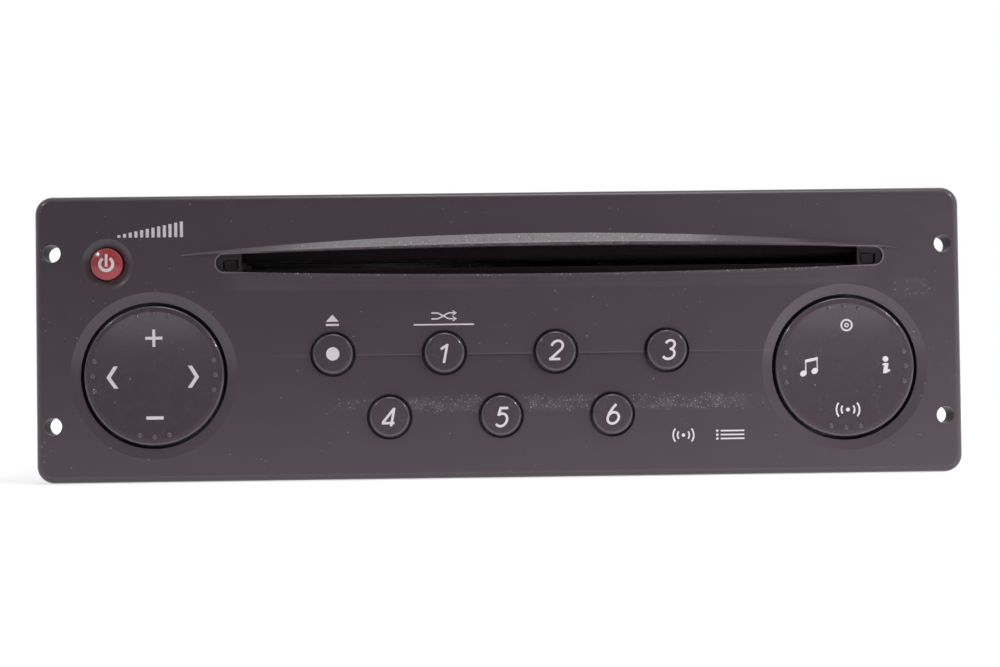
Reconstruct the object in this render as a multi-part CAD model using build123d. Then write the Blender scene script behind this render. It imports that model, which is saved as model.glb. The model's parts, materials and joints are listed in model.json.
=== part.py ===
from build123d import *
import os
from math import atan2, cos, pi, radians, sin, sqrt

# A slot-loading car radio with a disc player, in millimetres.
# The origin is the centre of the front panel's rear flange plane. X points right as seen
# from the driver's seat, Y points into the dashboard and Z points up.

# Front panel
PANEL_WIDTH = 188.0
PANEL_HEIGHT = 58.0
PANEL_DEPTH = 9.0
PANEL_WALL = 2.4
PANEL_CORNER = 3.5
PANEL_EDGE_ROUND = 1.3
KEY_HOLE_SIDE = 3.4
KEY_HOLE_RISE = 11.5
KEY_HOLE_RADIUS = 1.8
KEY_HOLE_TUBE = 1.7
BOSS_RADIUS = 2.6
PILOT_RADIUS = 1.1
PILOT_FLOOR = 0.6

# Disc slot, brow and light guides
SLOT_X = 10.4
SLOT_DISC_ROOM = 2.7
SLOT_Z = 15.2
SLOT_HALF_HEIGHT = 2.85
SLOT_END_RADIUS = 1.8
SLOT_LAND_REACH = 5.2
SLOT_LAND_DEPTH = 0.6
BROW_X = 8.5
BROW_HALF = 74.0
BROW_REACH = 1.4
BROW_CREASE = 20.65
BROW_DROP = 3.75
BROW_LIP_LEFT = 0.2
BROW_LIP_RIGHT = 0.9
BROW_EDGE = 0.3
BROW_FADE = 0.12
BROW_ROOT = 0.5
LIP_FOOT_Z = 9.5
LIP_DEPTH = 0.35
LIP_OVERRUN = 1.0
FELT_THICKNESS = 1.2
FELT_GAP = 2.1
FELT_SHIELD_GAP = 1.2
FELT_RIB_GAP = 0.8
FELT_RIB = 1.2
FELT_RIB_PROUD = 0.2
FELT_RIB_OVERRUN = 0.5
GUIDE_PANE_WIDTH = 2.5
GUIDE_PANE_HEIGHT = 1.7
GUIDE_POCKET_EDGE = 0.35
GUIDE_POCKET_WALL = 0.6
GUIDE_POCKET_CORNER = 0.6
GUIDE_FLANGE = 0.9
GUIDE_LEDGE = 0.3
GUIDE_SINK = 1.2
GUIDE_DROP_LEFT = 0.3
GUIDE_DROP_RIGHT = 0.4

# Shallow scoop across the preset keys
SCOOP_X = 8.0
SCOOP_HALF = 47.0
SCOOP_TOP_Z = -3.96
SCOOP_FOOT_Z = -14.9
SCOOP_DEPTH = 0.42

# Round keys
KEY_RADIUS = 4.08
KEY_GAP = 0.55
KEY_PROUD = 1.1
KEY_ROUND = 0.55
KEY_FLANGE = 1.3
KEY_FLANGE_THICKNESS = 1.0
KEY_REST_GAP = 0.2
KEY_PITCH = 22.6
UPPER_ROW_X = -33.95
UPPER_ROW_Z = -3.52
LOWER_ROW_X = -22.6
LOWER_ROW_Z = -16.4
POWER_SIDE = 14.6
POWER_Z = 15.2
POWER_RADIUS = 3.2
POWER_GAP = 0.35
POWER_DISH_RADIUS = 5.2
POWER_DISH_DEPTH = 0.9
POWER_DOME = 0.7

# Rocker pads
PAD_SIDE = 23.85
PAD_RISE = 21.55
PAD_RADIUS = 14.15
PAD_GAP = 0.7
PAD_PROUD = 0.2
PAD_THICKNESS = 1.8
PAD_SKIRT_DEPTH = 4.0
PAD_SKIRT_WALL = 1.2
PAD_HOLLOW = 0.45
PAD_ROUND = 0.5
PAD_BOWL_RIM = 1.2
DISH_RADIUS = 16.95
DISH_DEPTH = 0.45
DOT_RADIUS = 0.62
DOT_CIRCLE = 12.4
DOT_STEP = 14.0
COLLAR_WALL = 1.6
PIVOT_DEPTH = 3.6
PIVOT_RADIUS = 0.75
PIVOT_CLEARANCE = 0.08
PIVOT_LUG_RADIUS = 1.35
PIVOT_LUG_WIDTH = 1.4
LUG_GAP = 0.3
CROSS_HALF_DEPTH = 1.2
CROSS_CHAMFER = 0.4
CROSS_HALF = 2.4
CROSS_PIN_REACH = 4.3
CARRIER_THICKNESS = 0.9
CARRIER_SWITCH_GAP = 0.3
CARRIER_FOOT_RADIUS = 1.2
CARRIER_FOOT_INSET = 1.6
PLUNGER_CIRCLE = 9.5
PLUNGER_RADIUS = 1.1
PLUNGER_HOLE_GAP = 0.6
PLUNGER_STROKE = 0.75
SWITCH_SIZE = 4.4
SWITCH_HEIGHT = 0.5

# Front board and rubber key mat
BOARD_THICKNESS = 1.6
FRONT_BOARD_BACK = 0.4
FRONT_BOARD_SIDE_GAP = 1.1
FRONT_BOARD_FOOT = 4.0
FRONT_BOARD_HIGH = 9.2
FRONT_BOARD_TAB_TOP = 5.6
FRONT_BOARD_TAB_REACH = 18.9
BOARD_BOSS_GAP = 0.4
UPPER_BOSS_XS = (-50.0, 70.0)
LOWER_BOSS_XS = (-45.0, 45.0)
PANEL_BOSS_INSET = 3.2
BOARD_BOSS_Z = 6.0
BOARD_BOSS_REACH = 22.15
BOARD_BOSS_FOOT = 2.6
BOARD_BOSS_POWER_REACH = 11.4
BOARD_BOSS_TAB_DROP = 3.0
LAMP_REACHES = (17.0, 26.15)
LAMP_HALF = 1.6
LAMP_DEPTH = 1.4
LAMP_LOW = 7.0
LAMP_HIGH = 9.0
PLUG_HALF = 22.0
PLUG_WALL = 2.0
PLUG_HEIGHT = 6.5
PLUG_BACK = 11.0
PLUG_MOUTH = 3.0
MAT_THICKNESS = 0.8
MAT_MARGIN = 3.2
MAT_TRIM = 3.2
MAT_BOSS_GAP = 0.5
MAT_POWER_MARGIN = 2.0
MAT_POWER_SHRINK = 0.6
MAT_DOME_FOOT = 3.2
MAT_DOME_TOP = 2.2
MAT_DOME_GAP = 0.05

# Steel case
CASE_HALF_WIDTH = 89.0
CASE_HALF_HEIGHT = 25.0
CASE_DEPTH = 155.0
SHEET = 1.0
VENT_WIDTH = 2.4
VENT_LENGTH = 15.0
VENT_PITCH = 6.0
VENT_COUNT = 9
VENT_LEFT = -56.0
VENT_ROWS = (40.0, 78.0, 116.0)
REAR_VENT_XS = (-30.0, -24.0, -18.0, 12.0, 18.0, 24.0)
REAR_VENT_HALF = 1.2
REAR_VENT_LOW = 8.0
REAR_VENT_HIGH = 18.0
CASE_SLOT_MARGIN = 3.4
CASE_SLOT_BELOW = 4.8
CASE_SLOT_ABOVE = 3.8
PLUG_ROOM_SIDE = 1.0
PLUG_ROOM_BELOW = 3.0
HEAD_ROOM = 0.5
LID_FLANGE_RISE = 4.0
REAR_FLANGE_LENGTH = 10.0
REAR_FLANGE_HALF = 9.0
SHELF_YS = [30.0, 112.0]
SHELF_HALF = 7.0
SHELF_LEFT_REACH = 8.0
SHELF_RIGHT_REACH = 4.0
SIDE_SCREW_YS = [62.0, 128.0]
SIDE_SCREW_Z = 14.0
REAR_SCREW_INSET = 6.0
BOARD_STAND = 4.0
STAND_RADIUS = 3.2
OUTER_STAND_INSET = 9.0
OUTER_STANDS = [(-1, 12.0), (1, 12.0), (1, 140.0)]
INNER_STANDS = [(-40.0, 72.0), (60.0, 72.0)]
TUNER_STAND_GAP = 6.0
TUNER_STAND_Y = 128.0

# Side latch springs
LATCH_LENGTH = 42.0
LATCH_START = 9.0
LATCH_THICKNESS = 0.5
LATCH_ARM_HEIGHT = 5.0
LATCH_BRIDGE = 8.0
LATCH_SPREAD = 2.6
LATCH_ROOT_REACH = 6.0
LATCH_FOOT = 6.0
LATCH_NOSE_PROUD = 1.6
LATCH_NOSE_HALF = 6.0

# Screws
SCREW_HEAD_RADIUS = 2.6
SCREW_HEAD_HEIGHT = 1.4
SCREW_RADIUS = 1.1
SCREW_LENGTH = 5.0
SCREW_HOLE = 1.3
HOLE_PLAY = 0.1
SMALL_HEAD_RADIUS = 2.0
SMALL_HEAD_HEIGHT = 0.9
SMALL_SCREW_LENGTH = 3.0

# Disc deck
DISC_RADIUS = 60.0
DISC_THICKNESS = 1.2
DISC_DROP = 0.2
DISC_CENTRE_Y = 68.0
DECK_SIDE_GAP = 4.6
DECK_FRONT = 6.0
DECK_BACK_REACH = 78.0
DECK_FLOOR_DROP = 11.0
DECK_TOP_RISE = 7.0
DECK_FLANGE_GAP = 0.2
DECK_FLANGE_HALF = 6.0
DECK_SCREW_LEFT_INSET = 4.0
DECK_SCREW_RIGHT_INSET = 2.2
TRAVERSE_DROP = 8.0
TRAVERSE_THICKNESS = 1.2
TRAVERSE_FRONT_REACH = 20.0
TRAVERSE_BACK_REACH = 75.5
TRAVERSE_LEFT_REACH = 36.4
TRAVERSE_RIGHT_REACH = 45.6
BUSH_RADIUS = 3.5
BUSH_WALL = 1.0
BUSH_LIP = 1.2
BUSH_OFFSETS = [(-30.4, -12.0), (29.6, -12.0), (-30.4, 68.0)]
SERVO_STAND_RADIUS = 2.2
SERVO_STAND_HEIGHT = 1.4
SERVO_SIDE = 7.6
SERVO_LENGTH = 48.0
SERVO_FRONT_REACH = 14.0
SERVO_STAND_INSET = 6.0
SERVO_CHIP = 14.0
SERVO_CHIP_HEIGHT = 1.8
RIBBON_REACH = 14.0
RIBBON_SOCKET = 20.0
RIBBON_SOCKET_DEPTH = 4.0
RIBBON_MARGIN = 2.0
RIBBON_THICKNESS = 0.6
SERVO_THICKNESS = 1.2
RIBBON_SOCKET_HEIGHT = 3.0

# Feed roller and its gears
GEAR_MODULE = 0.5
ROLLER_Y = 14.0
ROLLER_RADIUS = 4.0
ROLLER_SHAFT_RADIUS = 1.5
ROLLER_TEETH = 18
LOAD_TEETH = 24
PINION_TEETH = 10
LOAD_GEAR_DROP = 3.0
GEAR_WALL_GAP = 0.4
STUB_RADIUS = 1.5
ROLLER_DISC_GAP = 0.2
GEAR_WIDTH = 2.6
GUIDE_POST_INSET = 5.0
SHAFT_CLEARANCE = 0.08
MOTOR_RADIUS = 7.8
MOTOR_LENGTH = 20.0
MOTOR_SHAFT_RADIUS = 0.75

# Spindle, clamp and laser sled
SPINDLE_MOTOR_RADIUS = 9.0
SPINDLE_MOTOR_LENGTH = 7.4
SPINDLE_SHAFT_RADIUS = 1.0
TURNTABLE_RADIUS = 13.0
HUB_RADIUS = 7.3
HUB_HEIGHT = 1.7
PUCK_RADIUS = 12.0
PUCK_NECK_RADIUS = 5.0
ARM_RISE = 4.0
ARM_HALF_WIDTH = 15.0
ARM_PIVOT_REACH = 73.0
ARM_PIVOT_RISE = 4.5
ARM_FRONT_REACH = 9.0
ARM_PIN_ROOM = 0.6
ARM_LUG_GAP = 0.6
ARM_LUG_THICKNESS = 1.4
ARM_PIN_RADIUS = 1.2
SLED_FIRST_TRACK = 24.0
SLED_TRAVEL = 34.0
SLED_FRONT_REACH = 10.0
SLED_BACK_REACH = 12.0
ROD_LEFT_REACH = 16.0
ROD_RIGHT_REACH = 11.0
ROD_DROP = 4.3
ROD_RADIUS = 1.5
ROD_END_ROOM = 3.0
ROD_HOLDER_HALF = 2.4
ROD_HOLDER_RISE = 2.2
RACK_REACH = 21.4
RACK_END = 4.0
RACK_HEIGHT = 2.0
SLED_SIDE = 3.0
SLED_GEAR_REACH = 36.0
SLED_GEAR_WIDTH = 1.3
SLED_GEAR_GAP = 0.3
GEAR_PIN_RADIUS = 1.0
SLED_PINION_TEETH = 12
SLED_GEAR_TEETH = 36
SLED_MOTOR_SIDE = 60.0

# Main board and rear connections
MAIN_BOARD_SIDE_GAP = 3.0
MAIN_BOARD_FRONT = 4.0
MAIN_BOARD_BACK = 149.0
SOCKET_WIDTH = 48.0
SOCKET_LEFT = -27.0
SOCKET_HEIGHT = 15.0
SOCKET_FRONT = 138.0
SOCKET_PROUD = 1.0
CHAMBER_WIDTH = 20.0
CHAMBER_HEIGHT = 10.6
CHAMBER_DEPTH = 14.0
KEYWAY_INSET = 7.0
KEYWAY_LENGTH = 8.0
KEYWAY_HEIGHT = 1.6
BLADE_WIDTH = 1.6
BLADE_THICKNESS = 0.8
BLADE_PITCH = 5.0
BLADE_REACH = 8.0
AERIAL_SIDE = 19.0
AERIAL_Z = -8.0
AERIAL_OUTER = 6.2
AERIAL_BORE = 4.9
AERIAL_LENGTH = 16.0
AERIAL_PROUD = 4.0
AERIAL_FLOOR = 3.0
AERIAL_FOOT = 9.0
FUSE_SIDE = 41.5
FUSE_THICKNESS = 5.0
FUSE_HEIGHT = 19.0
FUSE_MARGIN = 1.2
FUSE_HOLDER_WALL = 1.5
FUSE_HOLDER_FRONT = 141.0
FUSE_HOLDER_PROUD = 1.0
FUSE_DEPTH = 6.0
PRONG_INSET = 3.5
PRONG_HALF = 2.4
PRONG_HALF_THICKNESS = 0.4
PRONG_ROOM = 0.1
PRONG_FRONT = 144.2
STUD_X = -4.0
STUD_Z = 12.0
STUD_RADIUS = 2.5
STUD_LENGTH = 12.0
STUD_CHAMFER = 0.6
STUD_HEAD_RADIUS = 4.5
STUD_HEAD_HEIGHT = 2.2
WASHER_RADIUS = 5.0
WASHER_THICKNESS = 0.8
NUT_RADIUS = 4.6
NUT_HEIGHT = 3.6
SINK_WIDTH = 48.0
SINK_SIDE = 5.0
SINK_LOW = -20.0
SINK_HIGH = 18.0
SINK_BASE = 2.5
FIN_LENGTH = 9.5
FIN_THICKNESS = 1.6
FIN_COUNT = 9
FIN_INSET = 8.5
SINK_SCREW_INSET = 4.0
AMP_WIDTH = 26.0
AMP_THICKNESS = 4.2
AMP_HEIGHT = 15.0
AMP_RISE = 3.0
AMP_LEGS = 11
AMP_LEG_HALF = 0.4
AMP_LEG_INSET = 3.0
CLAMP_REACH = 5.0
CLAMP_SHEET = 1.2
CLAMP_RISE = 9.0
CLAMP_HEIGHT = 5.0
COIL_SIDE = 14.0
COIL_Y = 96.0
COIL_RING = 6.5
COIL_RADIUS = 3.5
CHIP_HEIGHT = 2.2
CHIPS = [(-20.0, 40.0, 20.0, 14.0), (30.0, 34.0, 14.0, 14.0)]
CHIPS += [(4.0, 104.0, 22.0, 10.0), (-52.0, 30.0, 12.0, 8.0)]
LARGE_CAN = (70.0, 9.0, 25.0)
MIDDLE_CAN = (30.0, 126.0, 5.0, 14.0)
SMALL_CAN = (138.0, 4.0, 12.0)
SMALL_CAN_PITCH = 12.0
CAN_ROUND = 0.6
TUNER_WIDTH = 28.0
TUNER_FRONT = 106.0
TUNER_BACK = 137.0
TUNER_HEIGHT = 15.0
TUNER_HOLE_INSET = 6.0
TUNER_HOLE_PITCH = 8.0
TUNER_HOLE_RADIUS = 1.4
TUNER_HOLE_DEPTH = 0.6

# Places worked out from the sizes above
FRONT = -PANEL_DEPTH
SLOT_HALF = DISC_RADIUS + SLOT_DISC_ROOM
SLOT_LAND_HALF = SLOT_HALF + SLOT_LAND_REACH
KEY_HOLE_X = PANEL_WIDTH / 2 - KEY_HOLE_SIDE
KEY_HOLE_Z = PANEL_HEIGHT / 2 - KEY_HOLE_RISE
POWER_X = POWER_SIDE - PANEL_WIDTH / 2
PAD_X = PANEL_WIDTH / 2 - PAD_SIDE
PAD_Z = PAD_RISE - PANEL_HEIGHT / 2
FRONT_BOARD_HALF = KEY_HOLE_X - KEY_HOLE_RADIUS - KEY_HOLE_TUBE - FRONT_BOARD_SIDE_GAP
FRONT_BOARD_LOW = FRONT_BOARD_FOOT - PANEL_HEIGHT / 2
FRONT_BOARD_TAB_HIGH = PANEL_HEIGHT / 2 - FRONT_BOARD_TAB_TOP
WALL_BACK = FRONT + PANEL_WALL
BOARD_BACK = -FRONT_BOARD_BACK
BOARD_FRONT = BOARD_BACK - BOARD_THICKNESS
CARRIER_BACK = BOARD_FRONT - SWITCH_HEIGHT - CARRIER_SWITCH_GAP
CARRIER_FRONT = CARRIER_BACK - CARRIER_THICKNESS
PIVOT_Y = FRONT + PIVOT_DEPTH
INNER_X = CASE_HALF_WIDTH - 2 * SHEET
INNER_Z = CASE_HALF_HEIGHT - SHEET
MAIN_BOARD_LOW = -INNER_Z + BOARD_STAND
MAIN_BOARD_TOP = MAIN_BOARD_LOW + BOARD_THICKNESS
DECK_HALF_WIDTH = INNER_X - SLOT_X - DECK_SIDE_GAP
DECK_LEFT = SLOT_X - DECK_HALF_WIDTH
DECK_RIGHT = SLOT_X + DECK_HALF_WIDTH
DISC_Z = SLOT_Z - DISC_DROP
DISC_LOW = DISC_Z - DISC_THICKNESS / 2
DISC_HIGH = DISC_Z + DISC_THICKNESS / 2
ROLLER_Z = DISC_LOW - ROLLER_RADIUS - ROLLER_DISC_GAP
DECK_BACK = DISC_CENTRE_Y + DECK_BACK_REACH
DECK_FLOOR_Z = DISC_Z - DECK_FLOOR_DROP
DECK_TOP_Z = DISC_Z + DECK_TOP_RISE
TRAVERSE_Z = DISC_Z - TRAVERSE_DROP
LOAD_GEAR_Z = DISC_Z - LOAD_GEAR_DROP
ARM_Z = DISC_Z + ARM_RISE
ARM_PIVOT_Y = DISC_CENTRE_Y + ARM_PIVOT_REACH
ARM_PIVOT_Z = DISC_Z + ARM_PIVOT_RISE
ROD_LEFT_X = SLOT_X - ROD_LEFT_REACH
ROD_RIGHT_X = SLOT_X + ROD_RIGHT_REACH
ROD_Z = DISC_Z - ROD_DROP
RACK_PITCH_X = SLOT_X + RACK_REACH
SLED_GEAR_Y = DISC_CENTRE_Y + SLED_GEAR_REACH
TRAVERSE_TOP = TRAVERSE_Z + TRAVERSE_THICKNESS
REAR = CASE_DEPTH
REAR_SCREW_Y = REAR - REAR_SCREW_INSET
FUSE_X = FUSE_SIDE - INNER_X
FUSE_Z = MAIN_BOARD_TOP + FUSE_MARGIN
AERIAL_X = AERIAL_SIDE - INNER_X
SINK_RIGHT = INNER_X - SINK_SIDE
SINK_LEFT = SINK_RIGHT - SINK_WIDTH
MAIN_BOARD_HALF = INNER_X - MAIN_BOARD_SIDE_GAP
TUNER_LEFT = -MAIN_BOARD_HALF
TUNER_RIGHT = TUNER_LEFT + TUNER_WIDTH
TUNER_HOLE_XS = [TUNER_LEFT + TUNER_HOLE_INSET + k * TUNER_HOLE_PITCH for k in range(3)]
COIL_X = COIL_SIDE - INNER_X
CANS = [(COIL_X, *LARGE_CAN), MIDDLE_CAN]
CANS += [(SINK_LEFT + k * SMALL_CAN_PITCH, *SMALL_CAN) for k in range(3)]
OUTER_STAND_X = INNER_X - OUTER_STAND_INSET
BOARD_STANDS = [(side * OUTER_STAND_X, y) for side, y in OUTER_STANDS] + INNER_STANDS
BOARD_STANDS.append((TUNER_RIGHT + TUNER_STAND_GAP, TUNER_STAND_Y))
SERVO_LEFT = DECK_LEFT + SERVO_SIDE
SERVO_FRONT = DISC_CENTRE_Y + SERVO_FRONT_REACH
SERVO_RIGHT = SERVO_LEFT + SERVO_LENGTH
SERVO_BACK = SERVO_FRONT + SERVO_LENGTH
SERVO_STANDS = [
    (x, y) for x in (SERVO_LEFT + SERVO_STAND_INSET, SERVO_RIGHT - SERVO_STAND_INSET)
    for y in (SERVO_FRONT + SERVO_STAND_INSET, SERVO_BACK - SERVO_STAND_INSET)
]
RIBBON_LEFT = SERVO_LEFT + RIBBON_REACH
RIBBON_RIGHT = RIBBON_LEFT + RIBBON_SOCKET
RIBBON_BACK = SERVO_BACK - RIBBON_MARGIN
RIBBON_FRONT = RIBBON_BACK - RIBBON_SOCKET_DEPTH
DECK_SCREW_XS = (-INNER_X + DECK_SCREW_LEFT_INSET, INNER_X - DECK_SCREW_RIGHT_INSET)
BUSH_PLACES = [(SLOT_X + x, DISC_CENTRE_Y + y) for x, y in BUSH_OFFSETS]
TRAVERSE_FRONT = DISC_CENTRE_Y - TRAVERSE_FRONT_REACH
TRAVERSE_BACK = DISC_CENTRE_Y + TRAVERSE_BACK_REACH
TRAVERSE_LEFT = SLOT_X - TRAVERSE_LEFT_REACH
TRAVERSE_RIGHT = SLOT_X + TRAVERSE_RIGHT_REACH

# Keys that share one shape: name, centre X, centre Z
ROUND_KEYS = [("eject_button", UPPER_ROW_X, UPPER_ROW_Z)]
ROUND_KEYS += [
    (f"preset_button_{n}", UPPER_ROW_X + n * KEY_PITCH, UPPER_ROW_Z) for n in (1, 2, 3)
]
ROUND_KEYS += [
    (f"preset_button_{n}", LOWER_ROW_X + (n - 4) * KEY_PITCH, LOWER_ROW_Z) for n in (4, 5, 6)
]
PADS = [("left", -PAD_X), ("right", PAD_X)]
PANEL_BOSS_Z = CASE_HALF_HEIGHT - PANEL_BOSS_INSET
PANEL_BOSSES = [(x, PANEL_BOSS_Z) for x in UPPER_BOSS_XS]
PANEL_BOSSES += [(x, -PANEL_BOSS_Z) for x in LOWER_BOSS_XS]
BOARD_BOSSES = [(x, BOARD_BOSS_Z) for x in (BOARD_BOSS_REACH - PAD_X, 0.0, PAD_X - BOARD_BOSS_REACH)]
BOARD_BOSSES.append((KEY_PITCH / 2, FRONT_BOARD_LOW + BOARD_BOSS_FOOT))
BOARD_BOSSES.append((POWER_X + BOARD_BOSS_POWER_REACH, FRONT_BOARD_TAB_HIGH - BOARD_BOSS_TAB_DROP))


def block(x0, x1, y0, y1, z0, z1):
    return Pos((x0 + x1) / 2, (y0 + y1) / 2, (z0 + z1) / 2) * Box(x1 - x0, y1 - y0, z1 - z0)


def rod_x(y, z, radius, x0, x1):
    return Pos((x0 + x1) / 2, y, z) * Rot(0, 90, 0) * Cylinder(radius, x1 - x0)


def rod_y(x, z, radius, y0, y1):
    return Pos(x, (y0 + y1) / 2, z) * Rot(90, 0, 0) * Cylinder(radius, y1 - y0)


def rod_z(x, y, radius, z0, z1):
    return Pos(x, y, (z0 + z1) / 2) * Cylinder(radius, z1 - z0)


def cone_y(x, z, front_radius, back_radius, y0, y1):
    """A frustum along Y: front_radius at y0, back_radius at y1."""
    middle = Pos(x, (y0 + y1) / 2, z)
    return middle * Rot(90, 0, 0) * Cone(back_radius, front_radius, y1 - y0)


def plate_profile(half_x, half_z, corner, y0, y1):
    """A slab with rounded corners that stands in the XZ plane."""
    outline = Plane.XZ * RectangleRounded(2 * half_x, 2 * half_z, corner)
    return Pos(0, y1, 0) * extrude(outline, y1 - y0)


def lofted(sections):
    """A solid through outlines of (y, z) points, one for each x, first to last."""
    wires = []
    for x, outline in sections:
        wire = Wire.make_polygon([Vector(x, y, z) for y, z in outline], close=True)
        wires.append(wire)
    return Solid.make_loft(wires)


def spread(count, first, last):
    return [first + (last - first) * k / (count - 1) for k in range(count)]


def screw(origin, direction, head=SCREW_HEAD_RADIUS, height=SCREW_HEAD_HEIGHT, length=SCREW_LENGTH):
    """A cross-head screw whose head sits on origin and whose shank runs along direction."""
    top = Pos(0, 0, -height / 2) * Cylinder(head, height)
    top = fillet(top.edges().filter_by(GeomType.CIRCLE).sort_by(Axis.Z)[0], height * 0.45)
    shank = Pos(0, 0, length / 2) * Cylinder(SCREW_RADIUS, length)
    blade = Box(head * 1.1, head * 0.28, height)
    cross = blade + Rot(0, 0, 90) * blade
    body = top + shank - Pos(0, 0, -height) * cross
    return Plane(origin=origin, z_dir=direction).location * body


def small_screw(origin, direction):
    return screw(origin, direction, SMALL_HEAD_RADIUS, SMALL_HEAD_HEIGHT, SMALL_SCREW_LENGTH)


def tooth_outline(teeth, phase):
    """Outline points of a gear with slim straight-sided teeth, one tooth at phase."""
    pitch_radius = GEAR_MODULE * teeth / 2
    root = pitch_radius - 1.15 * GEAR_MODULE
    tip = pitch_radius + 0.8 * GEAR_MODULE
    half = pi / teeth * 0.40
    points = []
    for k in range(teeth):
        middle = phase + 2 * pi * k / teeth
        for radius, turn in ((root, -1.5), (tip, -0.45), (tip, 0.45), (root, 1.5)):
            angle = middle + turn * half
            points.append((radius * cos(angle), radius * sin(angle)))
    return points


def gear(teeth, width, phase, bore):
    """A gear along Z that starts at z = 0."""
    outline = make_face(Polyline(*tooth_outline(teeth, phase), close=True))
    blank = extrude(outline, width)
    if bore:
        blank -= Pos(0, 0, width / 2) * Cylinder(bore, 2 * width)
    return blank


def meshing_phase(phase, teeth, partner_teeth, direction):
    """The partner's phase when it lies in a direction (radians) from the first gear."""
    share = (direction - phase) / (2 * pi / teeth)
    return direction + pi - (0.5 - share) * 2 * pi / partner_teeth


def pitch_radius(teeth):
    return GEAR_MODULE * teeth / 2


# Front panel

def slot_profile(y0, y1):
    """The lens-shaped outline round the slot, with a half-round end at each side."""
    reach = SLOT_LAND_HALF - SLOT_END_RADIUS
    left, right = SLOT_X - reach, SLOT_X + reach
    high, low = SLOT_Z + SLOT_END_RADIUS, SLOT_Z - SLOT_END_RADIUS
    upper = ThreePointArc((left, high), (SLOT_X, SLOT_Z + SLOT_HALF_HEIGHT), (right, high))
    right_end = ThreePointArc((right, high), (right + SLOT_END_RADIUS, SLOT_Z), (right, low))
    lower = ThreePointArc((right, low), (SLOT_X, SLOT_Z - SLOT_HALF_HEIGHT), (left, low))
    left_end = ThreePointArc((left, low), (left - SLOT_END_RADIUS, SLOT_Z), (left, high))
    outline = Plane.XZ * make_face([upper, right_end, lower, left_end])
    return Pos(0, y1, 0) * extrude(outline, y1 - y0)


def slot_edge(x):
    """Height of the slot's upper edge at x, continued past its ends."""
    share = (x - SLOT_X) / (SLOT_LAND_HALF - SLOT_END_RADIUS)
    return SLOT_Z + SLOT_END_RADIUS + (SLOT_HALF_HEIGHT - SLOT_END_RADIUS) * (1 - share * share)


def brow():
    """The brow over the slot: a slope that leans outwards down to a lip, and fades at both ends."""
    sections = []
    for step in spread(13, -1.0, 1.0):
        x = BROW_X + step * BROW_HALF
        crease = BROW_CREASE - BROW_DROP * step * step
        lip = BROW_LIP_LEFT + (BROW_LIP_RIGHT - BROW_LIP_LEFT) * (step + 1) / 2
        crest = min(slot_edge(x) + lip, crease - BROW_EDGE)
        reach = FRONT - BROW_REACH * (sqrt(1 - step * step) - BROW_FADE)
        foot = min(slot_edge(x), crest) - BROW_EDGE
        outline = [
            (FRONT + BROW_ROOT, crease + BROW_EDGE),
            (FRONT, crease),
            (reach, crest),
            (reach, foot),
            (FRONT + BROW_ROOT, foot),
        ]
        sections.append((x, outline))
    return lofted(sections)


def ramp_cutter(centre_x, half, deep_z, flush_z, depth):
    """Takes a shallow ramp out of the face: deepest at deep_z, flush at flush_z and both ends."""
    sections = []
    for step in spread(7, -1.0, 1.0):
        cut = depth * (1 - step * step) - 0.02
        outline = [
            (FRONT - 1, deep_z),
            (FRONT + cut, deep_z),
            (FRONT - 0.01, flush_z),
            (FRONT - 1, flush_z),
        ]
        sections.append((centre_x + step * half, outline))
    return lofted(sections)


def guide_centres():
    """Centres of the two light-guide pockets at the ends of the slot."""
    offset = SLOT_HALF + GUIDE_POCKET_WALL + GUIDE_POCKET_EDGE + GUIDE_PANE_WIDTH / 2
    return [(SLOT_X - offset, SLOT_Z - GUIDE_DROP_LEFT), (SLOT_X + offset, SLOT_Z - GUIDE_DROP_RIGHT)]


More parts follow.
